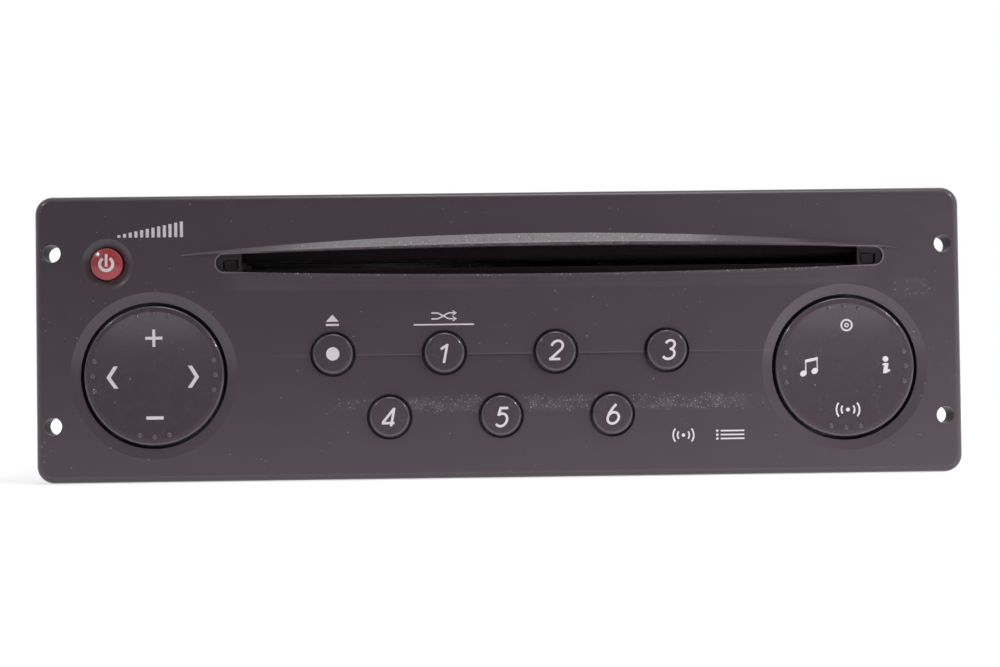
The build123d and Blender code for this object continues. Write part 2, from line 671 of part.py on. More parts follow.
def faceplate():
    half_x, half_z = PANEL_WIDTH / 2, PANEL_HEIGHT / 2
    shell = plate_profile(half_x, half_z, PANEL_CORNER, FRONT, 0)
    rim = shell.faces().sort_by(Axis.Y)[0].edges()
    shell = fillet(rim, PANEL_EDGE_ROUND)
    inner_corner = max(PANEL_CORNER - PANEL_WALL, 0.6)
    hollow = plate_profile(
        half_x - PANEL_WALL, half_z - PANEL_WALL, inner_corner, WALL_BACK, 1
    )
    body = shell - hollow
    body -= ramp_cutter(SCOOP_X, SCOOP_HALF, SCOOP_TOP_Z, SCOOP_FOOT_Z, SCOOP_DEPTH)
    lip_top = SLOT_Z - SLOT_HALF_HEIGHT + LIP_OVERRUN
    body -= ramp_cutter(SLOT_X, SLOT_HALF, lip_top, LIP_FOOT_Z, LIP_DEPTH)
    body += brow()
    body -= slot_profile(FRONT - PANEL_DEPTH, FRONT + SLOT_LAND_DEPTH)
    left, right = SLOT_X - SLOT_HALF, SLOT_X + SLOT_HALF
    body -= slot_profile(FRONT, 1) & block(left, right, FRONT, 1, -half_z, half_z)
    shield_back = WALL_BACK + FELT_SHIELD_GAP + FELT_THICKNESS + FELT_RIB_PROUD
    rib_half = SLOT_HALF + FELT_RIB_OVERRUN
    rib_reach = SLOT_HALF_HEIGHT + FELT_RIB_GAP
    for low in (SLOT_Z + rib_reach, SLOT_Z - rib_reach - FELT_RIB):
        body += block(SLOT_X - rib_half, SLOT_X + rib_half, WALL_BACK, shield_back, low, low + FELT_RIB)
    for x in (-KEY_HOLE_X, KEY_HOLE_X):
        for z in (-KEY_HOLE_Z, KEY_HOLE_Z):
            tube = rod_y(x, z, KEY_HOLE_RADIUS + KEY_HOLE_TUBE, WALL_BACK, 0)
            body += tube & block(-half_x, half_x, WALL_BACK, 0, -half_z, half_z)
            body -= rod_y(x, z, KEY_HOLE_RADIUS, FRONT - 1, 1)
    for x, z in PANEL_BOSSES:
        body += rod_y(x, z, BOSS_RADIUS, WALL_BACK, 0)
        body -= rod_y(x, z, PILOT_RADIUS, WALL_BACK + PILOT_FLOOR, 1)
    for x, z in BOARD_BOSSES:
        body += rod_y(x, z, BOSS_RADIUS, WALL_BACK, BOARD_FRONT)
        body -= rod_y(x, z, PILOT_RADIUS, WALL_BACK + PILOT_FLOOR, 1)
    for name, x in PADS:
        body += rod_y(x, PAD_Z, PAD_RADIUS + PAD_GAP + COLLAR_WALL, WALL_BACK, CARRIER_FRONT)
        body -= rod_y(x, PAD_Z, PAD_RADIUS + PAD_GAP, FRONT - 1, 1)
        lip = PAD_RADIUS + PAD_GAP
        body -= cone_y(x, PAD_Z, DISH_RADIUS, lip, FRONT, FRONT + DISH_DEPTH)
    for name, x, z in ROUND_KEYS:
        body -= rod_y(x, z, KEY_RADIUS + KEY_GAP, FRONT - 1, 1)
    sphere_radius = (POWER_DISH_RADIUS**2 + POWER_DISH_DEPTH**2) / (2 * POWER_DISH_DEPTH)
    dish = Pos(POWER_X, FRONT + POWER_DISH_DEPTH - sphere_radius, POWER_Z) * Sphere(sphere_radius)
    body -= dish
    body -= rod_y(POWER_X, POWER_Z, POWER_RADIUS + POWER_GAP, FRONT - 1, 1)
    for x, z in guide_centres():
        pocket_x = GUIDE_PANE_WIDTH / 2 + GUIDE_POCKET_EDGE
        pocket_z = GUIDE_PANE_HEIGHT / 2 + GUIDE_POCKET_EDGE
        pocket = Plane.XZ * RectangleRounded(2 * pocket_x, 2 * pocket_z, GUIDE_POCKET_CORNER)
        body -= Pos(x, 1, z) * extrude(pocket, 1 + PANEL_DEPTH)
    return body


def slot_felts():
    """Two strips that keep dust out of the slot."""
    front = WALL_BACK + FELT_SHIELD_GAP
    back = front + FELT_THICKNESS
    left, right = SLOT_X - SLOT_HALF, SLOT_X + SLOT_HALF
    upper_rib = SLOT_Z + SLOT_HALF_HEIGHT + FELT_RIB_GAP
    lower_rib = SLOT_Z - SLOT_HALF_HEIGHT - FELT_RIB_GAP
    upper = block(left, right, front, back, DISC_Z + FELT_GAP / 2, upper_rib)
    lower = block(left, right, front, back, lower_rib, DISC_Z - FELT_GAP / 2)
    return Compound(children=[upper, lower])


def slot_light_guides():
    """Clear blocks in the pockets at both ends of the slot."""
    panes = []
    for x, z in guide_centres():
        half_x, half_z = GUIDE_PANE_WIDTH / 2, GUIDE_PANE_HEIGHT / 2
        pane = block(x - half_x, x + half_x, FRONT + GUIDE_SINK, WALL_BACK, z - half_z, z + half_z)
        edge = GUIDE_POCKET_EDGE + GUIDE_LEDGE
        flange = block(
            x - half_x - edge, x + half_x + edge, WALL_BACK, WALL_BACK + GUIDE_FLANGE,
            z - half_z - edge, z + half_z + edge,
        )
        panes.append(pane + flange)
    return Compound(children=panes)


# Keys, pads and what is behind them

def key_flange(x, z, radius):
    front = WALL_BACK + KEY_REST_GAP
    return rod_y(x, z, radius + KEY_FLANGE, front, front + KEY_FLANGE_THICKNESS)


def round_key(x, z):
    front = FRONT - KEY_PROUD
    cap = rod_y(x, z, KEY_RADIUS, front, WALL_BACK + KEY_REST_GAP)
    cap = fillet(cap.edges().filter_by(GeomType.CIRCLE).sort_by(Axis.Y)[0], KEY_ROUND)
    return cap + key_flange(x, z, KEY_RADIUS)


def power_key():
    front = FRONT - KEY_PROUD
    stem = rod_y(POWER_X, POWER_Z, POWER_RADIUS, front - POWER_DOME, WALL_BACK + KEY_REST_GAP)
    dome_radius = (POWER_RADIUS**2 + POWER_DOME**2) / (2 * POWER_DOME)
    ball = Pos(POWER_X, front - POWER_DOME + dome_radius, POWER_Z) * Sphere(dome_radius)
    return (stem & ball) + key_flange(POWER_X, POWER_Z, POWER_RADIUS)


def quarter_turns(x, radius):
    """Places above, right of, below and left of a pad's centre."""
    return [
        (x + radius * cos(radians(a)), PAD_Z + radius * sin(radians(a)), a)
        for a in (90, 0, 270, 180)
    ]


def pad(x):
    """A rocker pad with its skirt, finger dots, pivot lugs and four plungers."""
    front = FRONT - PAD_PROUD
    under = front + PAD_THICKNESS
    disc = rod_y(x, PAD_Z, PAD_RADIUS, front, front + PAD_SKIRT_DEPTH)
    disc -= rod_y(x, PAD_Z, PAD_RADIUS - PAD_SKIRT_WALL, under, front + PAD_SKIRT_DEPTH + 1)
    inner = PAD_RADIUS - PAD_BOWL_RIM
    bowl_radius = (inner**2 + PAD_HOLLOW**2) / (2 * PAD_HOLLOW)
    disc -= Pos(x, front + PAD_HOLLOW - bowl_radius, PAD_Z) * Sphere(bowl_radius)
    rim = disc.edges().filter_by(GeomType.CIRCLE).filter_by(
        lambda e: abs(e.radius - PAD_RADIUS) < 0.01 and abs(e.center().Y - front) < 0.01
    )
    disc = fillet(rim, PAD_ROUND)
    for centre_angle in (90, 0, 270, 180):
        for step in (-1, 0, 1):
            angle = radians(centre_angle + step * DOT_STEP)
            dot_x = x + DOT_CIRCLE * cos(angle)
            dot_z = PAD_Z + DOT_CIRCLE * sin(angle)
            disc += Pos(dot_x, front + 0.3, dot_z) * Sphere(DOT_RADIUS)
    lug_start = CROSS_HALF + LUG_GAP
    for side in (-1, 1):
        low, high = sorted((PAD_Z + side * lug_start, PAD_Z + side * (lug_start + PIVOT_LUG_WIDTH)))
        lug = block(x - PIVOT_LUG_RADIUS, x + PIVOT_LUG_RADIUS, under - 0.2, PIVOT_Y, low, high)
        lug += rod_z(x, PIVOT_Y, PIVOT_LUG_RADIUS, low, high)
        lug -= rod_z(x, PIVOT_Y, PIVOT_RADIUS + PIVOT_CLEARANCE, low - 1, high + 1)
        disc += lug
    plunger_back = BOARD_FRONT - SWITCH_HEIGHT - PLUNGER_STROKE
    for plunger_x, plunger_z, angle in quarter_turns(x, PLUNGER_CIRCLE):
        disc += rod_y(plunger_x, plunger_z, PLUNGER_RADIUS, under - 0.2, plunger_back)
    return disc


def gimbal(x):
    """The cross that lets a pad tip both ways: pins along X in the carrier, along Z in the pad."""
    cross = block(
        x - CROSS_HALF, x + CROSS_HALF, PIVOT_Y - CROSS_HALF_DEPTH, PIVOT_Y + CROSS_HALF_DEPTH,
        PAD_Z - CROSS_HALF, PAD_Z + CROSS_HALF,
    )
    cross = chamfer(cross.edges().filter_by(Axis.Y), CROSS_CHAMFER)
    cross += rod_x(PIVOT_Y, PAD_Z, PIVOT_RADIUS, x - CROSS_PIN_REACH, x + CROSS_PIN_REACH)
    pin_low, pin_high = PAD_Z - CROSS_PIN_REACH, PAD_Z + CROSS_PIN_REACH
    cross += rod_z(x, PIVOT_Y, PIVOT_RADIUS, pin_low, pin_high)
    return cross


def pad_carrier(x):
    """The plate behind a pad, with the two posts that hold its cross."""
    radius = PAD_RADIUS + PAD_GAP + COLLAR_WALL
    plate = rod_y(x, PAD_Z, radius, CARRIER_FRONT, CARRIER_BACK)
    post_start = CROSS_HALF + LUG_GAP
    for side in (-1, 1):
        low, high = sorted((x + side * post_start, x + side * (post_start + PIVOT_LUG_WIDTH)))
        post = block(
            low, high, PIVOT_Y, CARRIER_FRONT + 0.1, PAD_Z - PIVOT_LUG_RADIUS, PAD_Z + PIVOT_LUG_RADIUS
        )
        post += rod_x(PIVOT_Y, PAD_Z, PIVOT_LUG_RADIUS, low, high)
        post -= rod_x(PIVOT_Y, PAD_Z, PIVOT_RADIUS + PIVOT_CLEARANCE, low - 1, high + 1)
        plate += post
    for hole_x, hole_z, angle in quarter_turns(x, PLUNGER_CIRCLE):
        plate -= rod_y(hole_x, hole_z, PLUNGER_RADIUS + PLUNGER_HOLE_GAP, CARRIER_FRONT - 1, CARRIER_BACK + 1)
    for angle in (45, 135, 225, 315):
        foot_x = x + (radius - CARRIER_FOOT_INSET) * cos(radians(angle))
        foot_z = PAD_Z + (radius - CARRIER_FOOT_INSET) * sin(radians(angle))
        plate += rod_y(foot_x, foot_z, CARRIER_FOOT_RADIUS, CARRIER_BACK, BOARD_FRONT)
    return plate


def pad_carriers():
    return Compound(children=[pad_carrier(x) for name, x in PADS])


def mat_dome(x, z, foot, top):
    back = WALL_BACK + KEY_REST_GAP + KEY_FLANGE_THICKNESS + MAT_DOME_GAP
    return cone_y(x, z, top, foot, back, BOARD_FRONT - MAT_THICKNESS)


def keymat():
    """The rubber mat with a dome behind each key, and the small one behind the power key."""
    reach = KEY_RADIUS + MAT_MARGIN
    xs = [x for name, x, z in ROUND_KEYS]
    zs = [z for name, x, z in ROUND_KEYS]
    mat = block(
        min(xs) - reach, max(xs) + reach, BOARD_FRONT - MAT_THICKNESS, BOARD_FRONT,
        min(zs) - reach + MAT_TRIM, max(zs) + reach - MAT_TRIM,
    )
    for x, z in BOARD_BOSSES:
        mat -= rod_y(x, z, BOSS_RADIUS + MAT_BOSS_GAP, BOARD_FRONT - MAT_THICKNESS - 1, BOARD_FRONT + 1)
    for name, x, z in ROUND_KEYS:
        mat += mat_dome(x, z, MAT_DOME_FOOT, MAT_DOME_TOP)
    side = POWER_RADIUS + MAT_POWER_MARGIN
    small = block(
        POWER_X - side, POWER_X + side, BOARD_FRONT - MAT_THICKNESS, BOARD_FRONT,
        POWER_Z - side, POWER_Z + side,
    )
    small += mat_dome(POWER_X, POWER_Z, MAT_DOME_FOOT - MAT_POWER_SHRINK, MAT_DOME_TOP - MAT_POWER_SHRINK)
    return Compound(children=[mat, small])


def front_pcb():
    """The board behind the panel, with the pads' switches and four lamps soldered on it."""
    board = block(
        -FRONT_BOARD_HALF, FRONT_BOARD_HALF, BOARD_FRONT, BOARD_BACK, FRONT_BOARD_LOW, FRONT_BOARD_HIGH
    )
    tab_right = POWER_X + FRONT_BOARD_TAB_REACH
    board += block(
        -FRONT_BOARD_HALF, tab_right, BOARD_FRONT, BOARD_BACK, FRONT_BOARD_HIGH - 1, FRONT_BOARD_TAB_HIGH
    )
    for x, z in PANEL_BOSSES:
        board -= rod_y(x, z, BOSS_RADIUS + BOARD_BOSS_GAP, BOARD_FRONT - 1, BOARD_BACK + 1)
    for x, z in BOARD_BOSSES:
        board -= rod_y(x, z, SCREW_HOLE, BOARD_FRONT - 1, BOARD_BACK + 1)
    pieces = [board]
    half = SWITCH_SIZE / 2
    for name, x in PADS:
        for switch_x, switch_z, angle in quarter_turns(x, PLUNGER_CIRCLE):
            body = block(
                switch_x - half, switch_x + half, BOARD_FRONT - SWITCH_HEIGHT, BOARD_FRONT,
                switch_z - half, switch_z + half,
            )
            pieces.append(body)
    for x in [side * (PAD_X - reach) for side in (-1, 1) for reach in LAMP_REACHES]:
        pieces.append(
            block(x - LAMP_HALF, x + LAMP_HALF, BOARD_FRONT - LAMP_DEPTH, BOARD_FRONT, LAMP_LOW, LAMP_HIGH)
        )
    return Compound(children=pieces)


def front_connector():
    """The plug and socket between the front board and the main board."""
    low, high = MAIN_BOARD_TOP, MAIN_BOARD_TOP + PLUG_HEIGHT
    inner = PLUG_HALF - PLUG_WALL
    body = block(-PLUG_HALF, PLUG_HALF, BOARD_BACK, PLUG_BACK, low, high)
    front = PLUG_BACK - PLUG_MOUTH
    return body - block(-inner, inner, front, PLUG_BACK + 1, low + PLUG_WALL, high - PLUG_WALL)


# Steel case

def case_front_cuts():
    """Openings in the case's front wall for the disc, the screw heads and the board plug."""
    half = SLOT_HALF + CASE_SLOT_MARGIN
    low, high = SLOT_Z - CASE_SLOT_BELOW, SLOT_Z + CASE_SLOT_ABOVE
    cuts = [block(SLOT_X - half, SLOT_X + half, -1, SHEET + 1, low, high)]
    half = PLUG_HALF + PLUG_ROOM_SIDE
    low, high = MAIN_BOARD_TOP - PLUG_ROOM_BELOW, MAIN_BOARD_TOP + PLUG_HEIGHT + PLUG_ROOM_SIDE
    cuts.append(block(-half, half, -1, SHEET + 1, low, high))
    cuts += [rod_y(x, z, SCREW_HOLE, -1, SHEET + 1) for x, z in PANEL_BOSSES]
    head_room = SMALL_HEAD_RADIUS + HEAD_ROOM
    cuts += [rod_y(x, z, head_room, -1, SHEET + 1) for x, z in BOARD_BOSSES]
    return cuts


def chassis():
    """The case's tub: front wall, floor and two sides, with stands and deck shelves."""
    side = CASE_HALF_WIDTH - SHEET
    high = CASE_HALF_HEIGHT - SHEET
    tub = block(-side, side, 0, REAR, -CASE_HALF_HEIGHT, high)
    tub -= block(-INNER_X, INNER_X, SHEET, REAR + 1, -INNER_Z, high + 1)
    for cut in case_front_cuts():
        tub -= cut
    for x, y in BOARD_STANDS:
        tub += rod_z(x, y, STAND_RADIUS, -INNER_Z, MAIN_BOARD_LOW)
        tub -= rod_z(x, y, PILOT_RADIUS, -INNER_Z + 0.5, MAIN_BOARD_LOW + 1)
    for y in SHELF_YS:
        for inner, outer in ((-INNER_X, -INNER_X + SHELF_LEFT_REACH), (INNER_X - SHELF_RIGHT_REACH, INNER_X)):
            tub += block(inner, outer, y - SHELF_HALF, y + SHELF_HALF, DECK_TOP_Z - SHEET, DECK_TOP_Z)
        for x in DECK_SCREW_XS:
            tub -= rod_z(x, y, SCREW_RADIUS + HOLE_PLAY, DECK_TOP_Z - 2, DECK_TOP_Z + 1)
    for x in (-side - 1, side + 1):
        for y in SIDE_SCREW_YS:
            tub -= rod_x(y, SIDE_SCREW_Z, SCREW_HOLE, x - 3, x + 3)
        tub -= rod_x(REAR_SCREW_Y, 0.0, SCREW_HOLE, x - 3, x + 3)
    return tub


def top_cover():
    """The lid, with its side flanges outside the tub and three rows of air slots."""
    high = CASE_HALF_HEIGHT
    half = CASE_HALF_WIDTH
    lid = block(-half, half, 0, REAR, high - SHEET, high)
    for side in (-1, 1):
        inner, outer = sorted((side * (half - SHEET), side * half))
        lid += block(inner, outer, 0, REAR, -high + LID_FLANGE_RISE, high - 0.2)
    edges = lid.edges().filter_by(Axis.Y).filter_by(
        lambda e: abs(e.center().Z - high) < 0.01 and abs(abs(e.center().X) - half) < 0.01
    )
    lid = fillet(edges, SHEET * 0.8)
    for row_y in VENT_ROWS:
        for k in range(VENT_COUNT):
            x = VENT_LEFT + k * VENT_PITCH
            slot = Pos(x, row_y, high) * Rot(0, 0, 90) * extrude(
                SlotOverall(VENT_LENGTH, VENT_WIDTH), 2 * SHEET, both=True
            )
            lid -= slot
    for x in (-half, half):
        for y in SIDE_SCREW_YS:
            lid -= rod_x(y, SIDE_SCREW_Z, SCREW_HOLE, x - 3, x + 3)
        lid -= rod_x(REAR_SCREW_Y, 0.0, SMALL_HEAD_RADIUS + HEAD_ROOM, x - 3, x + 3)
    return lid


def rear_panel():
    """The rear wall with its side flanges and the holes for everything that comes out."""
    front = REAR - SHEET
    wall = block(-INNER_X, INNER_X, front, REAR, -INNER_Z, INNER_Z)
    for side in (-1, 1):
        inner, outer = sorted((side * (INNER_X - SHEET), side * INNER_X))
        wall += block(inner, outer, front - REAR_FLANGE_LENGTH, front, -REAR_FLANGE_HALF, REAR_FLANGE_HALF)
        wall -= rod_x(REAR_SCREW_Y, 0.0, PILOT_RADIUS, side * INNER_X - 3, side * INNER_X + 3)
    wall -= rod_y(AERIAL_X, AERIAL_Z, AERIAL_OUTER + HOLE_PLAY, REAR - 3, REAR + 3)
    low = MAIN_BOARD_TOP
    wall -= block(SOCKET_LEFT, SOCKET_LEFT + SOCKET_WIDTH, REAR - 3, REAR + 3, low, low + SOCKET_HEIGHT)
    holder = fuse_box()
    wall -= block(holder[0], holder[1], REAR - 3, REAR + 3, holder[2], holder[3])
    wall -= rod_y(STUD_X, STUD_Z, STUD_RADIUS + HOLE_PLAY, REAR - 3, REAR + 3)
    for x, z in sink_screws():
        wall -= rod_y(x, z, SCREW_RADIUS + HOLE_PLAY, REAR - 3, REAR + 3)
    for x in REAR_VENT_XS:
        left, right = x - REAR_VENT_HALF, x + REAR_VENT_HALF
        wall -= block(left, right, REAR - 3, REAR + 3, REAR_VENT_LOW, REAR_VENT_HIGH)
    return wall


def sink_screws():
    inset = SINK_SCREW_INSET
    return [
        (SINK_LEFT + inset, SINK_LOW + inset),
        (SINK_LEFT + inset, SINK_HIGH - inset),
        (SINK_RIGHT - inset, SINK_LOW + inset),
        (SINK_RIGHT - inset, SINK_HIGH - inset),
    ]


def heatsink():
    """The finned block on the rear wall that cools the amplifier."""
    sink = block(SINK_LEFT, SINK_RIGHT, REAR, REAR + SINK_BASE, SINK_LOW, SINK_HIGH)
    for x in spread(FIN_COUNT, SINK_LEFT + FIN_INSET, SINK_RIGHT - FIN_INSET):
        half = FIN_THICKNESS / 2
        back = REAR + SINK_BASE + FIN_LENGTH
        sink += block(x - half, x + half, REAR + SINK_BASE, back, SINK_LOW, SINK_HIGH)
    for x, z in sink_screws():
        sink -= rod_y(x, z, SCREW_RADIUS + HOLE_PLAY, REAR - 1, REAR + SINK_BASE + 1)
    return sink


def rear_stud():
    """The threaded stud that the bracket behind the dashboard holds, with its nut and washer."""
    inside = REAR - SHEET
    stud = rod_y(STUD_X, STUD_Z, STUD_RADIUS, inside - STUD_HEAD_HEIGHT / 2, REAR + STUD_LENGTH)
    stud = chamfer(stud.edges().filter_by(GeomType.CIRCLE).sort_by(Axis.Y)[-1], STUD_CHAMFER)
    head = rod_y(STUD_X, STUD_Z, STUD_HEAD_RADIUS, inside - STUD_HEAD_HEIGHT, inside)
    washer = rod_y(STUD_X, STUD_Z, WASHER_RADIUS, REAR, REAR + WASHER_THICKNESS)
    nut_back = REAR + WASHER_THICKNESS + NUT_HEIGHT
    nut = Pos(STUD_X, nut_back, STUD_Z) * extrude(Plane.XZ * RegularPolygon(NUT_RADIUS, 6), NUT_HEIGHT)
    return stud + head + washer + nut


def case_screws():
    """Screws through the lid's flanges, into the rear wall, and on the heatsink."""
    group = []
    for side in (-1, 1):
        outer = side * CASE_HALF_WIDTH
        for y in SIDE_SCREW_YS:
            group.append(small_screw((outer, y, SIDE_SCREW_Z), (-side, 0, 0)))
        group.append(small_screw((outer - side * SHEET, REAR_SCREW_Y, 0.0), (-side, 0, 0)))
    for x, z in sink_screws():
        group.append(screw((x, REAR + SINK_BASE, z), (0, -1, 0)))
    return Compound(children=group)


def latch_spring(side):
    """A forked leaf spring beside the case, which springs out behind the mounting sleeve's edge."""
    root = CASE_HALF_WIDTH
    end = LATCH_START + LATCH_LENGTH
    outline = [
        (root, LATCH_START),
        (root, LATCH_START + LATCH_ROOT_REACH),
        (root + LATCH_SPREAD, end - LATCH_BRIDGE),
        (root + LATCH_SPREAD, end),
        (root + LATCH_SPREAD + LATCH_THICKNESS, end),
        (root + LATCH_SPREAD + LATCH_THICKNESS, end - LATCH_BRIDGE),
        (root + LATCH_THICKNESS, LATCH_START + LATCH_ROOT_REACH),
        (root + LATCH_THICKNESS, LATCH_START),
    ]
    face = make_face(Polyline(*[(side * x, y) for x, y in outline], close=True))
    half = KEY_HOLE_Z + LATCH_ARM_HEIGHT / 2
    leaf = extrude(face, half, both=True)
    inner = KEY_HOLE_Z - LATCH_ARM_HEIGHT / 2
    window_front = LATCH_START + LATCH_ROOT_REACH
    low, high = sorted((side * (root - 1), side * (root + LATCH_SPREAD + 2)))
    leaf -= block(low, high, window_front, end - LATCH_BRIDGE, -inner, inner)
    leaf -= block(low, high, LATCH_START - 1, window_front + 1, -inner + LATCH_FOOT, inner - LATCH_FOOT)
    nose_out = root + LATCH_SPREAD + LATCH_THICKNESS
    nose = make_face(
        Polyline(
            (side * nose_out, end - LATCH_BRIDGE),
            (side * nose_out, end - 1),
            (side * (nose_out + LATCH_NOSE_PROUD), end - LATCH_BRIDGE + 2),
            close=True,
        )
    )
    leaf += extrude(nose, LATCH_NOSE_HALF, both=True)
    return leaf


# Main board and what is soldered to it

def main_pcb():
    """The main board, with its filter coil and small parts."""
    board = block(
        -MAIN_BOARD_HALF, MAIN_BOARD_HALF, MAIN_BOARD_FRONT, MAIN_BOARD_BACK, MAIN_BOARD_LOW, MAIN_BOARD_TOP
    )
    for x, y in BOARD_STANDS:
        board -= rod_z(x, y, SCREW_HOLE, MAIN_BOARD_LOW - 1, MAIN_BOARD_TOP + 1)
    coil = Pos(COIL_X, COIL_Y, MAIN_BOARD_TOP + COIL_RADIUS) * Torus(COIL_RING, COIL_RADIUS)
    pieces = [board, coil]
    for x, y, long, wide in CHIPS:
        high = MAIN_BOARD_TOP + CHIP_HEIGHT
        pieces.append(
            block(x - long / 2, x + long / 2, y - wide / 2, y + wide / 2, MAIN_BOARD_TOP, high)
        )
    return Compound(children=pieces)


def capacitors():
    """One large can beside the deck and four smaller ones under it."""
    group = []
    for x, y, radius, height in CANS:
        can = rod_z(x, y, radius, MAIN_BOARD_TOP, MAIN_BOARD_TOP + height)
        top = can.edges().filter_by(GeomType.CIRCLE).sort_by(Axis.Z)[-1]
        group.append(fillet(top, CAN_ROUND))
    return Compound(children=group)


def tuner_can():
    """The screened radio tuner beside the aerial socket."""
    high = MAIN_BOARD_TOP + TUNER_HEIGHT
    box = block(TUNER_LEFT, TUNER_RIGHT, TUNER_FRONT, TUNER_BACK, MAIN_BOARD_TOP, high)
    box = fillet(box.edges().filter_by(Axis.Z), 1.0)
    for x in TUNER_HOLE_XS:
        box -= rod_z(x, TUNER_FRONT + TUNER_HOLE_PITCH, TUNER_HOLE_RADIUS, high - TUNER_HOLE_DEPTH, high + 1)
    return box


def amplifier_place():
    centre = (SINK_LEFT + SINK_RIGHT) / 2
    return centre - AMP_WIDTH / 2, centre + AMP_WIDTH / 2


def amplifier_chip():
    """The power amplifier, flat against the rear wall, with its legs in the board."""
    left, right = amplifier_place()
    back = REAR - SHEET
    low = MAIN_BOARD_TOP + AMP_RISE
    chip = block(left, right, back - AMP_THICKNESS, back, low, low + AMP_HEIGHT)
    leg_y = MAIN_BOARD_BACK - 1.5
    for x in spread(AMP_LEGS, left + AMP_LEG_INSET, right - AMP_LEG_INSET):
        x0, x1 = x - AMP_LEG_HALF, x + AMP_LEG_HALF
        chip += block(x0, x1, leg_y, back - AMP_THICKNESS + 0.1, low + 0.6, low + 1.2)
        chip += block(x0, x1, leg_y, leg_y + 0.6, MAIN_BOARD_TOP, low + 1.2)
    return chip


def amplifier_clamp():
    """The spring plate that presses the amplifier against the rear wall."""
    left, right = amplifier_place()
    front = REAR - SHEET - AMP_THICKNESS
    low, high = MAIN_BOARD_TOP + CLAMP_RISE, MAIN_BOARD_TOP + CLAMP_RISE + CLAMP_HEIGHT
    outer_left, outer_right = left - CLAMP_REACH, right + CLAMP_REACH
    bar = block(outer_left, outer_right, front - CLAMP_SHEET, front, low, high)
    for x in (outer_left, outer_right - CLAMP_SHEET):
        bar += block(x, x + CLAMP_SHEET, front - 0.2, REAR - SHEET, low, high)
    return bar


# Rear connections

def chamber_lefts():
    wall = (SOCKET_WIDTH - 2 * CHAMBER_WIDTH) / 4
    return [SOCKET_LEFT + wall, SOCKET_LEFT + 3 * wall + CHAMBER_WIDTH]


def chamber_low():
    return MAIN_BOARD_TOP + (SOCKET_HEIGHT - CHAMBER_HEIGHT) / 2


def contact_blades():
    """Two rows of four blades in each chamber, bent down into the board."""
    floor = REAR + SOCKET_PROUD - CHAMBER_DEPTH
    blades = []
    for left in chamber_lefts():
        for row in (-1, 1):
            z = chamber_low() + CHAMBER_HEIGHT / 2 + row * BLADE_PITCH / 2
            tail_y = SOCKET_FRONT - 2.5 + row * 1.2
            for k in range(4):
                x = left + CHAMBER_WIDTH / 2 + (k - 1.5) * BLADE_PITCH
                half, thin = BLADE_WIDTH / 2, BLADE_THICKNESS / 2
                blade = block(x - half, x + half, tail_y, floor + BLADE_REACH, z - thin, z + thin)
                blade += block(x - half, x + half, tail_y, tail_y + BLADE_THICKNESS, MAIN_BOARD_TOP, z + thin)
                blades.append(blade)
    return blades


def iso_contacts():
    return Compound(children=contact_blades())


def iso_connector():
    """The twin socket for the power and loudspeaker plugs."""
    back = REAR + SOCKET_PROUD
    body = block(
        SOCKET_LEFT, SOCKET_LEFT + SOCKET_WIDTH, SOCKET_FRONT, back,
        MAIN_BOARD_TOP, MAIN_BOARD_TOP + SOCKET_HEIGHT,
    )
    for left in chamber_lefts():
        low = chamber_low()
        right = left + CHAMBER_WIDTH
        body -= block(left, right, back - CHAMBER_DEPTH, back + 1, low, low + CHAMBER_HEIGHT)
        key_low = low + CHAMBER_HEIGHT - 0.5
        body -= block(
            left + KEYWAY_INSET, right - KEYWAY_INSET, back - KEYWAY_LENGTH, back + 1,
            key_low, key_low + KEYWAY_HEIGHT,
        )
    for blade in contact_blades():
        body -= blade
    return body


def antenna_socket():
    """The aerial socket: a screened tube with its centre contact."""
    front = REAR - AERIAL_LENGTH
    back = REAR + AERIAL_PROUD
    shell = rod_y(AERIAL_X, AERIAL_Z, AERIAL_OUTER, front, back)
    shell -= rod_y(AERIAL_X, AERIAL_Z, AERIAL_BORE, front + AERIAL_FLOOR, back + 1)
    foot = block(
        AERIAL_X - AERIAL_OUTER, AERIAL_X + AERIAL_OUTER, front, front + AERIAL_FOOT, MAIN_BOARD_TOP, AERIAL_Z
    )
    foot -= rod_y(AERIAL_X, AERIAL_Z, AERIAL_OUTER - 0.5, front - 1, front + AERIAL_FOOT + 1)
    contact = rod_y(AERIAL_X, AERIAL_Z, 1.5, front + AERIAL_FLOOR, back - 7.0)
    contact -= rod_y(AERIAL_X, AERIAL_Z, 0.9, front + 5.0, back)
    return Compound(children=[shell + foot, contact])


def fuse_box():
    half = FUSE_THICKNESS / 2 + FUSE_HOLDER_WALL
    low = MAIN_BOARD_TOP
    return FUSE_X - half, FUSE_X + half, low, low + FUSE_HEIGHT + 2 * FUSE_MARGIN


def fuse_prongs():
    return [FUSE_Z + PRONG_INSET, FUSE_Z + FUSE_HEIGHT - PRONG_INSET]


def fuse_holder():
    left, right, low, high = fuse_box()
    body = block(left, right, FUSE_HOLDER_FRONT, REAR + FUSE_HOLDER_PROUD, low, high)
    half = FUSE_THICKNESS / 2
    body -= block(FUSE_X - half, FUSE_X + half, REAR - FUSE_DEPTH, REAR + 2, FUSE_Z, FUSE_Z + FUSE_HEIGHT)
    thin, wide = PRONG_HALF_THICKNESS, PRONG_HALF + PRONG_ROOM
    for z in fuse_prongs():
        body -= block(FUSE_X - thin, FUSE_X + thin, PRONG_FRONT - 2 * PRONG_ROOM, REAR, z - wide, z + wide)
    return body


